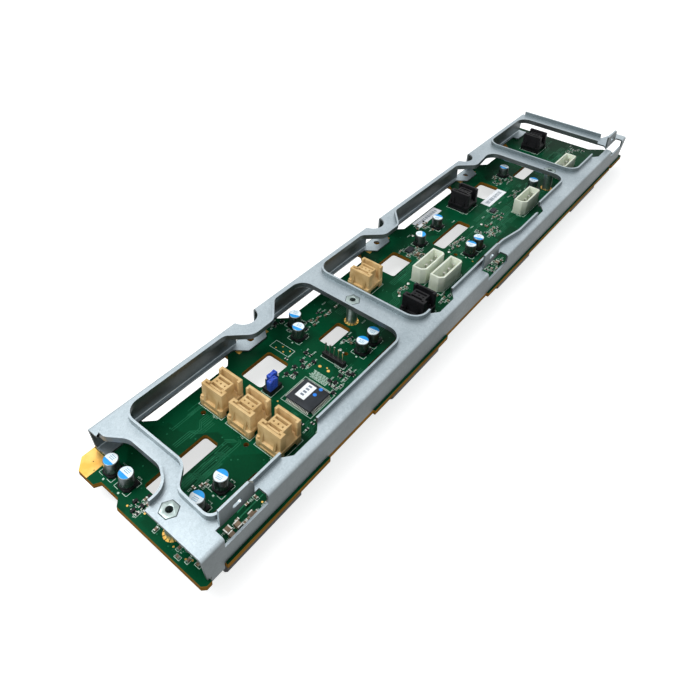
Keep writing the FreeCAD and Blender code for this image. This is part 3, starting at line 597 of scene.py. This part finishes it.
# Everything that the board's tracks, prints and small parts keep clear of, as x and y spans
boardLimits = {
    "x": (-7.6, 398.0), "y": (0.6, 74.6),
    "frontX": (4.5, 37.0), "frontY": (frontStrip["y"][1], 17.5),
    "middleX": (3.6, 36.1), "middleY": (38.2, 46.5), "shortMiddle": (1, 20.0),     # its column and end
    "windowX": (69.5, 89.0), "windowY": (46.0, 59.0),
    "recesses": [(27.5, 69.5), (113.5, 176.5), (220.0, 279.0), (328.0, 362.0)],
    "recessSlope": 4.4, "recessY": (67.2, 76.0),
    "pilots": [(43.2, 55.4), (43.2, 29.6), (111.8, 55.4), (111.8, 30.0), (217.2, 30.2), (255.8, 30.2)],
    "pilotSpan": 1.6,
}


def listHoles():
    look = boardLimits
    spans = []
    for column in range(columns):
        x = column * columnPitch
        shortColumn, shortEnd = look["shortMiddle"]
        middleEnd = shortEnd if column == shortColumn else look["middleX"][1]
        spans.append((x + look["frontX"][0], x + look["frontX"][1], *look["frontY"]))
        spans.append((x + look["middleX"][0], x + middleEnd, *look["middleY"]))
        if column < columns - 1:
            spans.append((x + look["windowX"][0], x + look["windowX"][1], *look["windowY"]))
    slope = look["recessSlope"]
    spans += [(start - slope, end + slope, *look["recessY"]) for start, end in look["recesses"]]
    half = look["pilotSpan"]
    return spans + [(x - half, x + half, y - half, y + half) for x, y in look["pilots"]]


def listStanding():
    kinds = ("cable_", "power_conn", "capacitor", "controller", "fan_header", "jumper_header",
             "hex_standoff", "round_standoff")
    found = []
    for nodeName in frame["nodes"]:
        if nodeName.startswith(kinds):
            low, high = placeOf(nodeName)
            found.append((nodeName, (low.x, high.x, low.y, high.y)))
    return found


holes = listHoles()
standing = listStanding()


def isFree(x, y, margin=0.6):
    left, right = boardLimits["x"]
    front, back = boardLimits["y"]
    if not (left < x < right and front < y < back):
        return False
    spans = holes + [area for name, area in standing]
    return not any(a - margin < x < b + margin and c - margin < y < d + margin for a, b, c, d in spans)


# Ink and plated vias lie this far below and above the board's top
thinLayer = (-0.01, 0.03)

# Tracks under the mask: bundles that run along the board and step sideways at 45 degrees. An
# area is its x and y span and its number of bundles.
tracks = {
    "z": (-0.01, 0.018), "width": 0.24, "spacing": 0.95, "run": (0.15, 0.5), "step": (1.0, 3.5),
    "inBundle": (2, 5), "clear": 0.4, "secondRun": 1.7, "tests": 6,
    "areas": [
        (-7.5, -4.5, 8, 40, 4), (5, 46, 27, 37, 9), (8, 44, 48, 60, 9), (60, 70, 8, 40, 8),
        (95, 112, 4, 22, 9), (135, 158, 20, 36, 8), (130, 152, 48, 62, 8), (166, 196, 38, 45, 6),
        (196, 216, 8, 30, 8), (232, 285, 18, 44, 16), (305, 318, 4, 40, 8), (326, 372, 24, 36, 9),
        (365, 396, 22, 68, 16),
    ],
    "lines": [((15, 8.6), (31, 8.6)), ((19, 10.7), (30, 11.4))],
    "vias": 420, "viaX": (-7, 396), "viaY": (1, 74), "viaRadius": 0.32,
}


def addTrack(mesh, start, end, width):
    (x0, y0), (x1, y1) = start, end
    midX, midY = (x0 + x1) / 2, (y0 + y1) / 2
    half = math.hypot(x1 - x0, y1 - y0) / 2
    addBlock(mesh, (midX - half, midX + half), (midY - width / 2, midY + width / 2), tracks["z"], 0,
             math.atan2(y1 - y0, x1 - x0))


def isTrackFree(start, end):
    steps = tracks["tests"]
    alongX, alongY = end[0] - start[0], end[1] - start[1]
    tests = [(start[0] + alongX * k / steps, start[1] + alongY * k / steps) for k in range(steps + 1)]
    return all(isFree(x, y, tracks["clear"]) for x, y in tests)


def addBundle(mesh, left, right, front, back):
    look = tracks
    x = chance.uniform(left, right)
    y = chance.uniform(front, back)
    run = chance.uniform(*look["run"]) * (right - left)
    step = chance.choice((-1, 1)) * chance.uniform(*look["step"])
    for k in range(chance.randint(*look["inBundle"])):
        shift = k * look["spacing"]
        stops = [(x, y + shift), (x + run, y + shift), (x + run + abs(step), y + step + shift),
                 (x + look["secondRun"] * run + abs(step), y + step + shift)]
        for start, end in zip(stops, stops[1:]):
            if isTrackFree(start, end):
                addTrack(mesh, start, end, look["width"])


def makeTracks():
    look = tracks
    mesh = bmesh.new()
    for *area, bundles in look["areas"]:
        for bundle in range(bundles):
            addBundle(mesh, *area)
    for k in range(look["vias"]):
        x, y = chance.uniform(*look["viaX"]), chance.uniform(*look["viaY"])
        if isFree(x, y):
            addRound(mesh, x, y, thinLayer, look["viaRadius"], 0, 8)
    for start, end in look["lines"]:
        addTrack(mesh, start, end, 2 * look["width"])
    newPiece("maskedTracks", mesh, [maskedCopper])


makeTracks()
print("stage: tracks")


# Shapes of the small surface parts: the body's length, width, height span and finish, then the
# length, width and height of its tinned ends and where they lie
partShapes = {
    "transistor": ((2.0, 1.1, (0.15, 1.0), 3), (0.4, 0.8, 0.25), [(-0.65, -0.9), (0.65, -0.9), (0, 0.9)]),
    "large": ((1.9, 2.2, (0.0, 1.6), 2), (0.5, 2.24, 1.63), [(-1.15, 0), (1.15, 0)]),
    "ceramic": ((1.1, 0.9, (0.0, 0.8), 2), (0.4, 0.94, 0.83), [(-0.7, 0), (0.7, 0)]),
    "resistor": ((1.1, 0.9, (0.0, 0.45), 3), (0.4, 0.94, 0.48), [(-0.7, 0), (0.7, 0)]),
}

# Their places by kind, chips with their size, and fields filled at random with a count
smallParts = {
    "transistors": [
        (-2.9, 43.2), (-2.4, 39.7), (-5.9, 40.8), (2.0, 40.4), (99.5, 44.7), (94.2, 42.6), (97.3, 37.9),
        (89.0, 42.8), (91.9, 40.0), (83.2, 42.8), (86.2, 39.8), (112.1, 55.3), (105.2, 69.5), (108.5, 68.0),
        (102.9, 19.4), (101.8, 21.1), (93.7, 22.4), (92.9, 24.9), (88.3, 19.4), (98.7, 23.1),
    ],
    "ceramics": [
        (15.5, 30.7), (18.0, 29.3), (19.7, 28.1), (118.5, 57.1), (122.4, 56.0), (117.3, 54.0),
        (126.4, 54.2), (129.6, 54.3), (135.1, 54.4), (119.0, 32.1), (120.1, 34.3), (226.4, 36.1),
        (224.8, 33.0), (231.5, 35.3),
        (247.3, 24.2), (253.4, 25.9), (255.5, 30.6), (172.8, 35.6), (169.3, 36.8), (166.2, 35.6),
        (178.8, 15.5), (177.7, 18.9), (178.0, 12.4), (208.0, 50.6), (201.0, 47.3), (199.8, 43.9),
        (224.6, 60.6), (228.8, 58.6),
        (230.3, 53.3), (259.1, 29.2), (270.3, 27.6), (270.1, 30.6), (311.5, 53.0), (312.6, 49.7),
        (317.8, 43.8), (-5.1, 28.5), (-4.2, 16.6), (-6.8, 14.5), (-4.1, 6.8), (17.8, 5.5), (19.7, 5.6),
        (23.5, 5.4), (29.5, 5.0), (218.0, 7.7), (229.2, 7.2), (227.1, 4.8),
    ],
    "largeCeramics": [(11.4, 8.0), (15.3, 6.6), (11.1, 5.2), (21.6, 5.4), (224.8, 7.9), (202.2, 46.0)],
    "chips": [(203.0, 52.5, 5.6, 4.4), (274.3, 35.4, 5.0, 4.0)],
    "silverDots": [
        (112.3, 33.6), (217.1, 34.4), (255.9, 33.8), (217.2, 59.4), (176.7, 36.4), (165.0, 34.4),
    ],
    "fields": [
        (-7.2, 1.0, 36.6, 44.0, 10), (14.0, 21.0, 27.0, 32.0, 5), (116.0, 131.0, 53.0, 59.0, 12),
        (103.0, 112.0, 60.0, 72.0, 12), (82.0, 100.0, 37.0, 45.5, 16), (88.0, 104.0, 17.5, 25.0, 18),
        (116.0, 125.0, 30.0, 38.0, 10), (198.0, 212.0, 42.0, 56.0, 18), (221.0, 236.0, 57.0, 64.0, 12),
        (221.0, 236.0, 31.0, 38.0, 12), (244.0, 258.0, 22.0, 33.0, 14), (174.0, 184.0, 10.0, 18.0, 8),
        (266.0, 276.0, 26.0, 33.0, 8), (306.0, 324.0, 43.0, 56.0, 16), (296.0, 310.0, 30.0, 36.0, 8),
        (64.0, 73.0, 10.0, 22.0, 10), (386.0, 395.0, 22.0, 34.0, 8), (-6.5, 0.0, 5.0, 14.0, 8),
        (11.0, 32.0, 3.5, 10.5, 12), (216.0, 232.0, 4.0, 10.5, 10), (84.0, 92.0, 46.5, 52.0, 6),
    ],
    "clear": 1.9,       # the least distance between two small parts
    "fromHole": 1.2, "turnedShare": 0.4, "framedShare": 0.45, "frame": (1.35, 0.8), "frameLine": 0.15,
    "mixed": ("resistor", "ceramic", "resistor"), "markX": (-2.4, 1.7), "markY": (-0.6, 0.6),
    "marks": (2, 4), "dotZ": (0.0, 0.25), "dotRadius": (0.9, 0.6),
}

# Small chips: the height span of the body, leads under its long sides, and the outline beside it
chipShape = {"z": (0.1, 1.2), "leads": 4, "leadHalf": 0.2, "leadTop": 0.25, "setback": 0.6, "reach": 0.2,
             "beside": 0.4, "marks": 4, "marksAway": 1.0}


def addFrame(ink, x, y, width):
    addBlock(ink, x, (y[0], y[0] + width), thinLayer)
    addBlock(ink, x, (y[1] - width, y[1]), thinLayer)
    addBlock(ink, (x[0], x[0] + width), (y[0] + width, y[1] - width), thinLayer)
    addBlock(ink, (x[1] - width, x[1]), (y[0] + width, y[1] - width), thinLayer)


# A part's reference on the board, as plain strokes
strokes = {"step": 0.62, "length": 0.8, "width": 0.2, "crossShare": 0.6, "cross": 0.45, "clear": 0.5}


def addMarks(ink, x, y, count, upright=False):
    look = strokes
    for k in range(count):
        markX, markY = (x, y + k * look["step"]) if upright else (x + k * look["step"], y)
        wide, deep = (look["length"], look["width"]) if upright else (look["width"], look["length"])
        if isFree(markX, markY, look["clear"]):
            addBlock(ink, (markX, markX + wide), (markY, markY + deep), thinLayer)
            if chance.random() < look["crossShare"]:
                addBlock(ink, (markX, markX + look["cross"]), (markY, markY + look["width"]), thinLayer)


def addSmallPart(mesh, ink, x, y, kind, upright):
    look = smallParts

    def block(alongX, alongY, z, index, aside=(0, 0)):
        dx, dy = (alongY, alongX) if upright else (alongX, alongY)
        midX, midY = (x + aside[1], y + aside[0]) if upright else (x + aside[0], y + aside[1])
        addBlock(mesh, (midX - dx / 2, midX + dx / 2), (midY - dy / 2, midY + dy / 2), z, index)

    body, (endLength, endWidth, endHeight), ends = partShapes[kind]
    block(*body)
    for end in ends:
        block(endLength, endWidth, (0.0, endHeight), 1, end)
    if chance.random() < look["framedShare"]:
        wide, deep = reversed(look["frame"]) if upright else look["frame"]
        addFrame(ink, (x - wide, x + wide), (y - deep, y + deep), look["frameLine"])
    addMarks(ink, x + chance.choice(look["markX"]), y + chance.uniform(*look["markY"]),
             chance.randint(*look["marks"]))


def addSmallChip(mesh, ink, x, y, wide, deep):
    look = chipShape
    left, right, front, back = x - wide / 2, x + wide / 2, y - deep / 2, y + deep / 2
    setback, half = look["setback"], look["leadHalf"]
    addBlock(mesh, (left, right), (front + setback, back - setback), look["z"], 0)
    for k in range(look["leads"]):
        lead = left + wide * (k + 0.5) / look["leads"]
        addBlock(mesh, (lead - half, lead + half), (front - look["reach"], back + look["reach"]),
                 (0.0, look["leadTop"]), 1)
    addFrame(ink, (left - look["beside"], right + look["beside"]), (front - setback, back + setback),
             smallParts["frameLine"])
    addMarks(ink, left, back + look["marksAway"], look["marks"])


def makeSmallParts(ink):
    look = smallParts
    mesh = bmesh.new()
    kinds = {"transistor": "transistors", "ceramic": "ceramics", "large": "largeCeramics"}
    placed = []
    for kind, key in kinds.items():
        for x, y in look[key]:
            addSmallPart(mesh, ink, x, y, kind, chance.random() < look["turnedShare"])
            placed.append((x, y))
    for left, right, front, back, count in look["fields"]:
        for k in range(count):
            x, y = chance.uniform(left, right), chance.uniform(front, back)
            near = any(math.dist((x, y), other) < look["clear"] for other in placed)
            if isFree(x, y, look["fromHole"]) and not near:
                addSmallPart(mesh, ink, x, y, chance.choice(look["mixed"]),
                             chance.random() < look["turnedShare"])
                placed.append((x, y))
    for place in look["chips"]:
        addSmallChip(mesh, ink, *place)
    root, tip = look["dotRadius"]
    for x, y in look["silverDots"]:
        addRound(mesh, x, y, look["dotZ"], root, 1, 20, tip)
    newPiece("smallSurfaceParts", mesh, [epoxy, tin, brownCeramic, blackEpoxy])


# White ink: outlines round the parts that stand on the board, corner marks of the capacitors,
# a field of plain marks between header and chip, and the long outline for an unfitted part
silkscreen = {
    "line": 0.2, "gap": 0.5, "cornerLength": 2.6,
    "dot": ((-1.7, -0.9), (2.8, 3.6)), "dotZ": (-0.01, 0.05),
    "field": (89.4, 94.0, 24.8, 34.0), "fieldPitch": 0.55,
    "fieldLine": 0.3, "fieldLength": (0.5, 1.6), "fieldGap": 0.35, "unfitted": (92.0, 97.2, 49.4, 61.4),
    "marks": 5, "besideX": -1.6, "besideY": 1.5, "canMarks": 4, "canMark": 1.0,
    "rows": 16, "rowX": (100, 390), "rowY": (3.0, 5.0, 19.2, 36.4, 48.2, 60.6),
}


def addCorners(ink, left, right, front, back):
    line, length = silkscreen["line"], silkscreen["cornerLength"]
    for cornerX, inX in ((left, 1), (right, -1)):
        for cornerY, inY in ((front, 1), (back, -1)):
            spanX = sorted((cornerX, cornerX + inX * length))
            spanY = sorted((cornerY, cornerY + inY * length))
            addBlock(ink, spanX, sorted((cornerY, cornerY + inY * line)), thinLayer)
            addBlock(ink, sorted((cornerX, cornerX + inX * line)), spanY, thinLayer)


def addMarkField(ink, left, right, front, back):
    look = silkscreen
    x = left
    while x < right:
        y = front
        while y < back:
            length = chance.uniform(*look["fieldLength"])
            addBlock(ink, (x, x + look["fieldLine"]), (y, y + length), thinLayer)
            y += length + look["fieldGap"]
        x += look["fieldPitch"]


def makeSilkscreen(ink):
    look = silkscreen
    gap = look["gap"]
    for name, (left, right, front, back) in standing:
        outline = (left - gap, right + gap, front - gap, back + gap)
        if name.startswith(("cable_", "power_conn", "fan_header", "jumper_header", "controller")):
            addFrame(ink, outline[:2], outline[2:], look["line"])
        if name.startswith(("cable_", "power_conn", "fan_header", "jumper_header")):
            addMarks(ink, left + look["besideX"], front + look["besideY"], look["marks"], True)
        if name.startswith("capacitor"):
            addCorners(ink, *outline)
            dotX, dotY = look["dot"]
            addBlock(ink, [left + x for x in dotX], [front + y for y in dotY], look["dotZ"])
            addMarks(ink, right + look["canMark"], front + look["canMark"], look["canMarks"], True)
    addMarkField(ink, *look["field"])
    addFrame(ink, look["unfitted"][:2], look["unfitted"][2:], look["line"])
    for k in range(look["rows"]):
        addMarks(ink, chance.uniform(*look["rowX"]), chance.choice(look["rowY"]), look["marks"])
    newPiece("silkscreenPrint", ink, [whiteInk])


inkMesh = bmesh.new()
makeSmallParts(inkMesh)
makeSilkscreen(inkMesh)
print("stage: small parts and silkscreen")


# Bare gold-plated copper: the grounding tab at the near end, the notched rings under the
# standoffs, the pads beside the feet, test points, and pads of the unfitted parts
plating = {
    "z": (-0.02, 0.03), "tab": [(-8.7, 66.2), (1.9, 66.2), (1.9, 76.0), (-4.1, 76.0), (-8.7, 71.4)],
    "ringRadius": 3.7, "ringGaps": 12, "gapAt": 3.3, "gapLength": 1.0, "gapWidth": 0.35,
    "gapRise": 0.02,
    "firstFoot": 88.7, "footPad": (8.2, 10.4), "footPadY": (68.4, 71.4),
    "testPoints": [
        (-5.8, 44.3), (-3.6, 36.7), (-5.2, 18.6), (-5.5, 11.8), (-4.2, 9.6), (68.9, 35.2), (98.7, 31.0),
        (93.1, 58.2), (95.7, 55.9), (93.2, 53.6), (95.6, 51.3), (106.0, 27.0), (28.4, 6.6), (217.9, 19.5),
        (300.2, 26.8), (26.4, 25.4),
    ],
    "testRadius": 0.42, "padPlaces": [(97.4, 34.3), (97.6, 29.4)], "padRadius": 0.8,
}


def addTab(mesh):
    low, high = plating["z"]
    tab = mesh.faces.new([mesh.verts.new(at(x, y, low)) for x, y in plating["tab"]])
    made = bmesh.ops.extrude_face_region(mesh, geom=[tab])
    raised = [vert for vert in made["geom"] if isinstance(vert, bmesh.types.BMVert)]
    bmesh.ops.translate(mesh, verts=raised, vec=(0, 0, (high - low) * mm))
    bmesh.ops.recalc_face_normals(mesh, faces=mesh.faces[:])


def addRing(mesh, x, y):
    look = plating
    low, high = look["z"]
    addRound(mesh, x, y, look["z"], look["ringRadius"], 0, 48)
    length, width = look["gapLength"] / 2, look["gapWidth"] / 2
    for k in range(look["ringGaps"]):
        turn = 2 * math.pi * k / look["ringGaps"]
        gapX, gapY = x + look["gapAt"] * math.cos(turn), y + look["gapAt"] * math.sin(turn)
        addBlock(mesh, (gapX - length, gapX + length), (gapY - width, gapY + width),
                 (low, high + look["gapRise"]), 1, turn)


def makePlating():
    look = plating
    mesh = bmesh.new()
    addTab(mesh)
    for name, (left, right, front, back) in standing:
        if "standoff" in name:
            addRing(mesh, (left + right) / 2, (front + back) / 2)
    near, far = look["footPad"]
    for foot in range(columns - 1):
        x = look["firstFoot"] + foot * columnPitch
        for side in (-1, 1):
            addBlock(mesh, sorted((x + side * near, x + side * far)), look["footPadY"], look["z"])
    for x, y in look["testPoints"]:
        addRound(mesh, x, y, look["z"], look["testRadius"], 0, 16)
    for x, y in look["padPlaces"]:
        addRound(mesh, x, y, look["z"], look["padRadius"], 0, 16)
    newPiece("goldPlating", mesh, [gold, mask])


makePlating()
print("stage: gold plating")


# Paper labels on the board, with plain bars in place of any print
labels = {
    "thick": 0.1, "places": [(227.5, 253.0, 60.5, 66.5), (277.6, 301.7, 39.5, 46.0)], "bar": (0.3, 0.9),
    "barGap": (0.3, 0.8), "margin": (2.0, 2.5), "marginY": 1.9,
}


def makeLabels():
    look = labels
    mesh = bmesh.new()
    for left, right, front, back in look["places"]:
        addBlock(mesh, (left, right), (front, back), (-0.01, look["thick"]))
        barY = (front + look["marginY"], back - look["marginY"])
        x = left + look["margin"][0]
        while x < right - look["margin"][1]:
            width = chance.uniform(*look["bar"])
            addBlock(mesh, (x, x + width), barY, (0.05, look["thick"] + 0.02), 1)
            x += width + chance.uniform(*look["barGap"])
    newPiece("paperLabels", mesh, [whitePaper, greyInk])


makeLabels()


# Underside: contact strips in the drive connectors and the solder of the through-hole pins
underside = {
    "contacts": 24, "contactPitch": 1.27, "contactWidth": 0.5, "contactY": (0.95, 1.15),
    "contactZ": (0.9, 4.2), "solderDepth": 0.9, "solderRadius": (0.35, 0.95),
}


def makeContacts():
    look = underside
    mesh = bmesh.new()
    inner, outer = look["contactY"]
    for nodeName in frame["nodes"]:
        if not nodeName.startswith("drive_connector"):
            continue
        low, high = placeOf(nodeName)
        x, y = (low.x + high.x) / 2, (low.y + high.y) / 2
        z = [low.z + rise for rise in look["contactZ"]]
        for k in range(look["contacts"]):
            left = x + (k + 1 - look["contacts"] // 2) * look["contactPitch"] - look["contactWidth"] / 2
            for side in (-1, 1):
                addBlock(mesh, (left, left + look["contactWidth"]),
                         sorted((y + side * inner, y + side * outer)), z)
    newPiece("driveContacts", mesh, [gold])


def listPins():
    pins = []
    for nodeName in frame["nodes"]:
        low, high = placeOf(nodeName)
        if nodeName.startswith("power_pins"):
            middle = (low.x + high.x) / 2
            pins += [(middle + (k - 1.5) * powerPinPitch, (low.y + high.y) / 2) for k in range(4)]
        if nodeName in ("fan_header_pins", "jumper_pins"):
            alongX = round((high.x - low.x) / pinPitch)
            alongY = round((high.y - low.y) / pinPitch)
            pins += [(low.x + pinHalf + i * pinPitch, low.y + pinHalf + k * pinPitch)
                     for i in range(alongX + 1) for k in range(alongY + 1)]
    return pins


def makeSolder():
    look = underside
    mesh = bmesh.new()
    tip, root = look["solderRadius"]
    for x, y in listPins():
        addRound(mesh, x, y, (boardBottom - look["solderDepth"], boardBottom + 0.02), tip, 0, 16, root)
    newPiece("pinSolder", mesh, [tin])


makeContacts()
makeSolder()
print("stage: labels and underside")


# Where the camera stands, in the same mm as the pieces, and which way it looks
view = {
    "place": (-89.51, -109.98, 239.06), "forward": (0.66414, 0.54127, -0.51570),
    "right": (0.63944, -0.76866, 0.01674), "lens": 35.706, "shift": (0.0571, -0.2303),
}


def makeCamera():
    data = bpy.data.cameras.new("viewCamera")
    data.sensor_width = 36
    data.lens = view["lens"]
    data.shift_x, data.shift_y = view["shift"]
    data.clip_start = 0.01
    camera = bpy.data.objects.new("viewCamera", data)
    forward = Vector(view["forward"]).normalized()
    right = Vector(view["right"]).normalized()
    up = right.cross(forward)
    turn = Matrix((right, up, -forward)).transposed().to_4x4()
    camera.matrix_world = Matrix.Translation(at(*view["place"])) @ turn
    bpy.context.scene.collection.objects.link(camera)
    bpy.context.scene.camera = camera


# A pale paper floor. It glows a little more where it is looked at than where it lights the part,
# and rays that a piece reflects or lets through see plain white in its place.
studio = {
    "floor": "#C8C8C8", "floorSize": 6.0, "below": 0.2, "glow": 0.2, "seenGlow": 0.66, "reflected": 0.9,
    "air": "#F4F7FA", "airStrength": 0.55,
    "lamps": [
        ("keyLight", (-0.5, 0.5, 1.1), (0.9, 0.9), 14), ("fillLight", (-0.6, -0.9, 0.7), (0.8, 0.6), 3),
    ],
}


def paleSurface(name):
    look = studio
    material, shader = newMaterial(name, Base_Color=colour(look["floor"]), Roughness=0.8,
                                   Emission_Color=colour("#FFFFFF"))
    tree = material.node_tree
    path = addNode(material, "ShaderNodeLightPath")
    strength = span(material, path.outputs["Is Camera Ray"], 0.0, 1.0, look["glow"], look["seenGlow"])
    connect(material, strength, shader, "Emission Strength")
    seen = addNode(material, "ShaderNodeMath", {"operation": "MAXIMUM"}, i0=path.outputs["Is Glossy Ray"],
                   i1=path.outputs["Is Transmission Ray"])
    white = addNode(material, "ShaderNodeEmission", Color=colour("#FFFFFF"), Strength=look["reflected"])
    mix = addNode(material, "ShaderNodeMixShader", i0=seen.outputs[0], i1=shader.outputs[0],
                  i2=white.outputs[0])
    output = next(node for node in tree.nodes if node.bl_idname == "ShaderNodeOutputMaterial")
    tree.links.new(mix.outputs[0], output.inputs[0])
    return material


def makeFloor():
    mesh = bpy.data.meshes.new("floor")
    floor = bmesh.new()
    bmesh.ops.create_grid(floor, x_segments=1, y_segments=1, size=studio["floorSize"])
    bmesh.ops.translate(floor, verts=floor.verts, vec=(0, 0, cadBox[0][2] - studio["below"] * mm))
    floor.to_mesh(mesh)
    floor.free()
    piece = bpy.data.objects.new("floor", mesh)
    mesh.materials.append(paleSurface("paleFloor"))
    bpy.context.scene.collection.objects.link(piece)


def makeLamp(name, place, size, power):
    data = bpy.data.lights.new(name, "AREA")
    data.shape = "RECTANGLE"
    data.size, data.size_y = size
    data.energy = power
    lamp = bpy.data.objects.new(name, data)
    lamp.location = place
    lamp.rotation_euler = (-Vector(place)).to_track_quat("-Z", "Y").to_euler()
    bpy.context.scene.collection.objects.link(lamp)


# Even daylight on the part, and plain white wherever the camera or a reflection sees the air
def makeWorld():
    world = bpy.data.worlds.new("studio")
    bpy.context.scene.world = world
    world.use_nodes = True
    tree = world.node_tree
    tree.nodes.clear()
    path = tree.nodes.new("ShaderNodeLightPath")
    soft = tree.nodes.new("ShaderNodeBackground")
    soft.inputs[0].default_value = colour(studio["air"])
    soft.inputs[1].default_value = studio["airStrength"]
    white = tree.nodes.new("ShaderNodeBackground")
    white.inputs[1].default_value = 1.0
    white.inputs[0].default_value = colour("#FFFFFF")
    seen = path.outputs["Is Camera Ray"]
    for kind in ("Is Glossy Ray", "Is Transmission Ray"):
        either = tree.nodes.new("ShaderNodeMath")
        either.operation = "MAXIMUM"
        tree.links.new(seen, either.inputs[0])
        tree.links.new(path.outputs[kind], either.inputs[1])
        seen = either.outputs[0]
    mix = tree.nodes.new("ShaderNodeMixShader")
    output = tree.nodes.new("ShaderNodeOutputWorld")
    tree.links.new(seen, mix.inputs[0])
    tree.links.new(soft.outputs[0], mix.inputs[1])
    tree.links.new(white.outputs[0], mix.inputs[2])
    tree.links.new(mix.outputs[0], output.inputs[0])


makeCamera()
makeFloor()
makeWorld()
for lampSettings in studio["lamps"]:
    makeLamp(*lampSettings)
bpy.context.scene.view_settings.view_transform = "Standard"
print("stage: camera, floor and light")


print("stage: done")
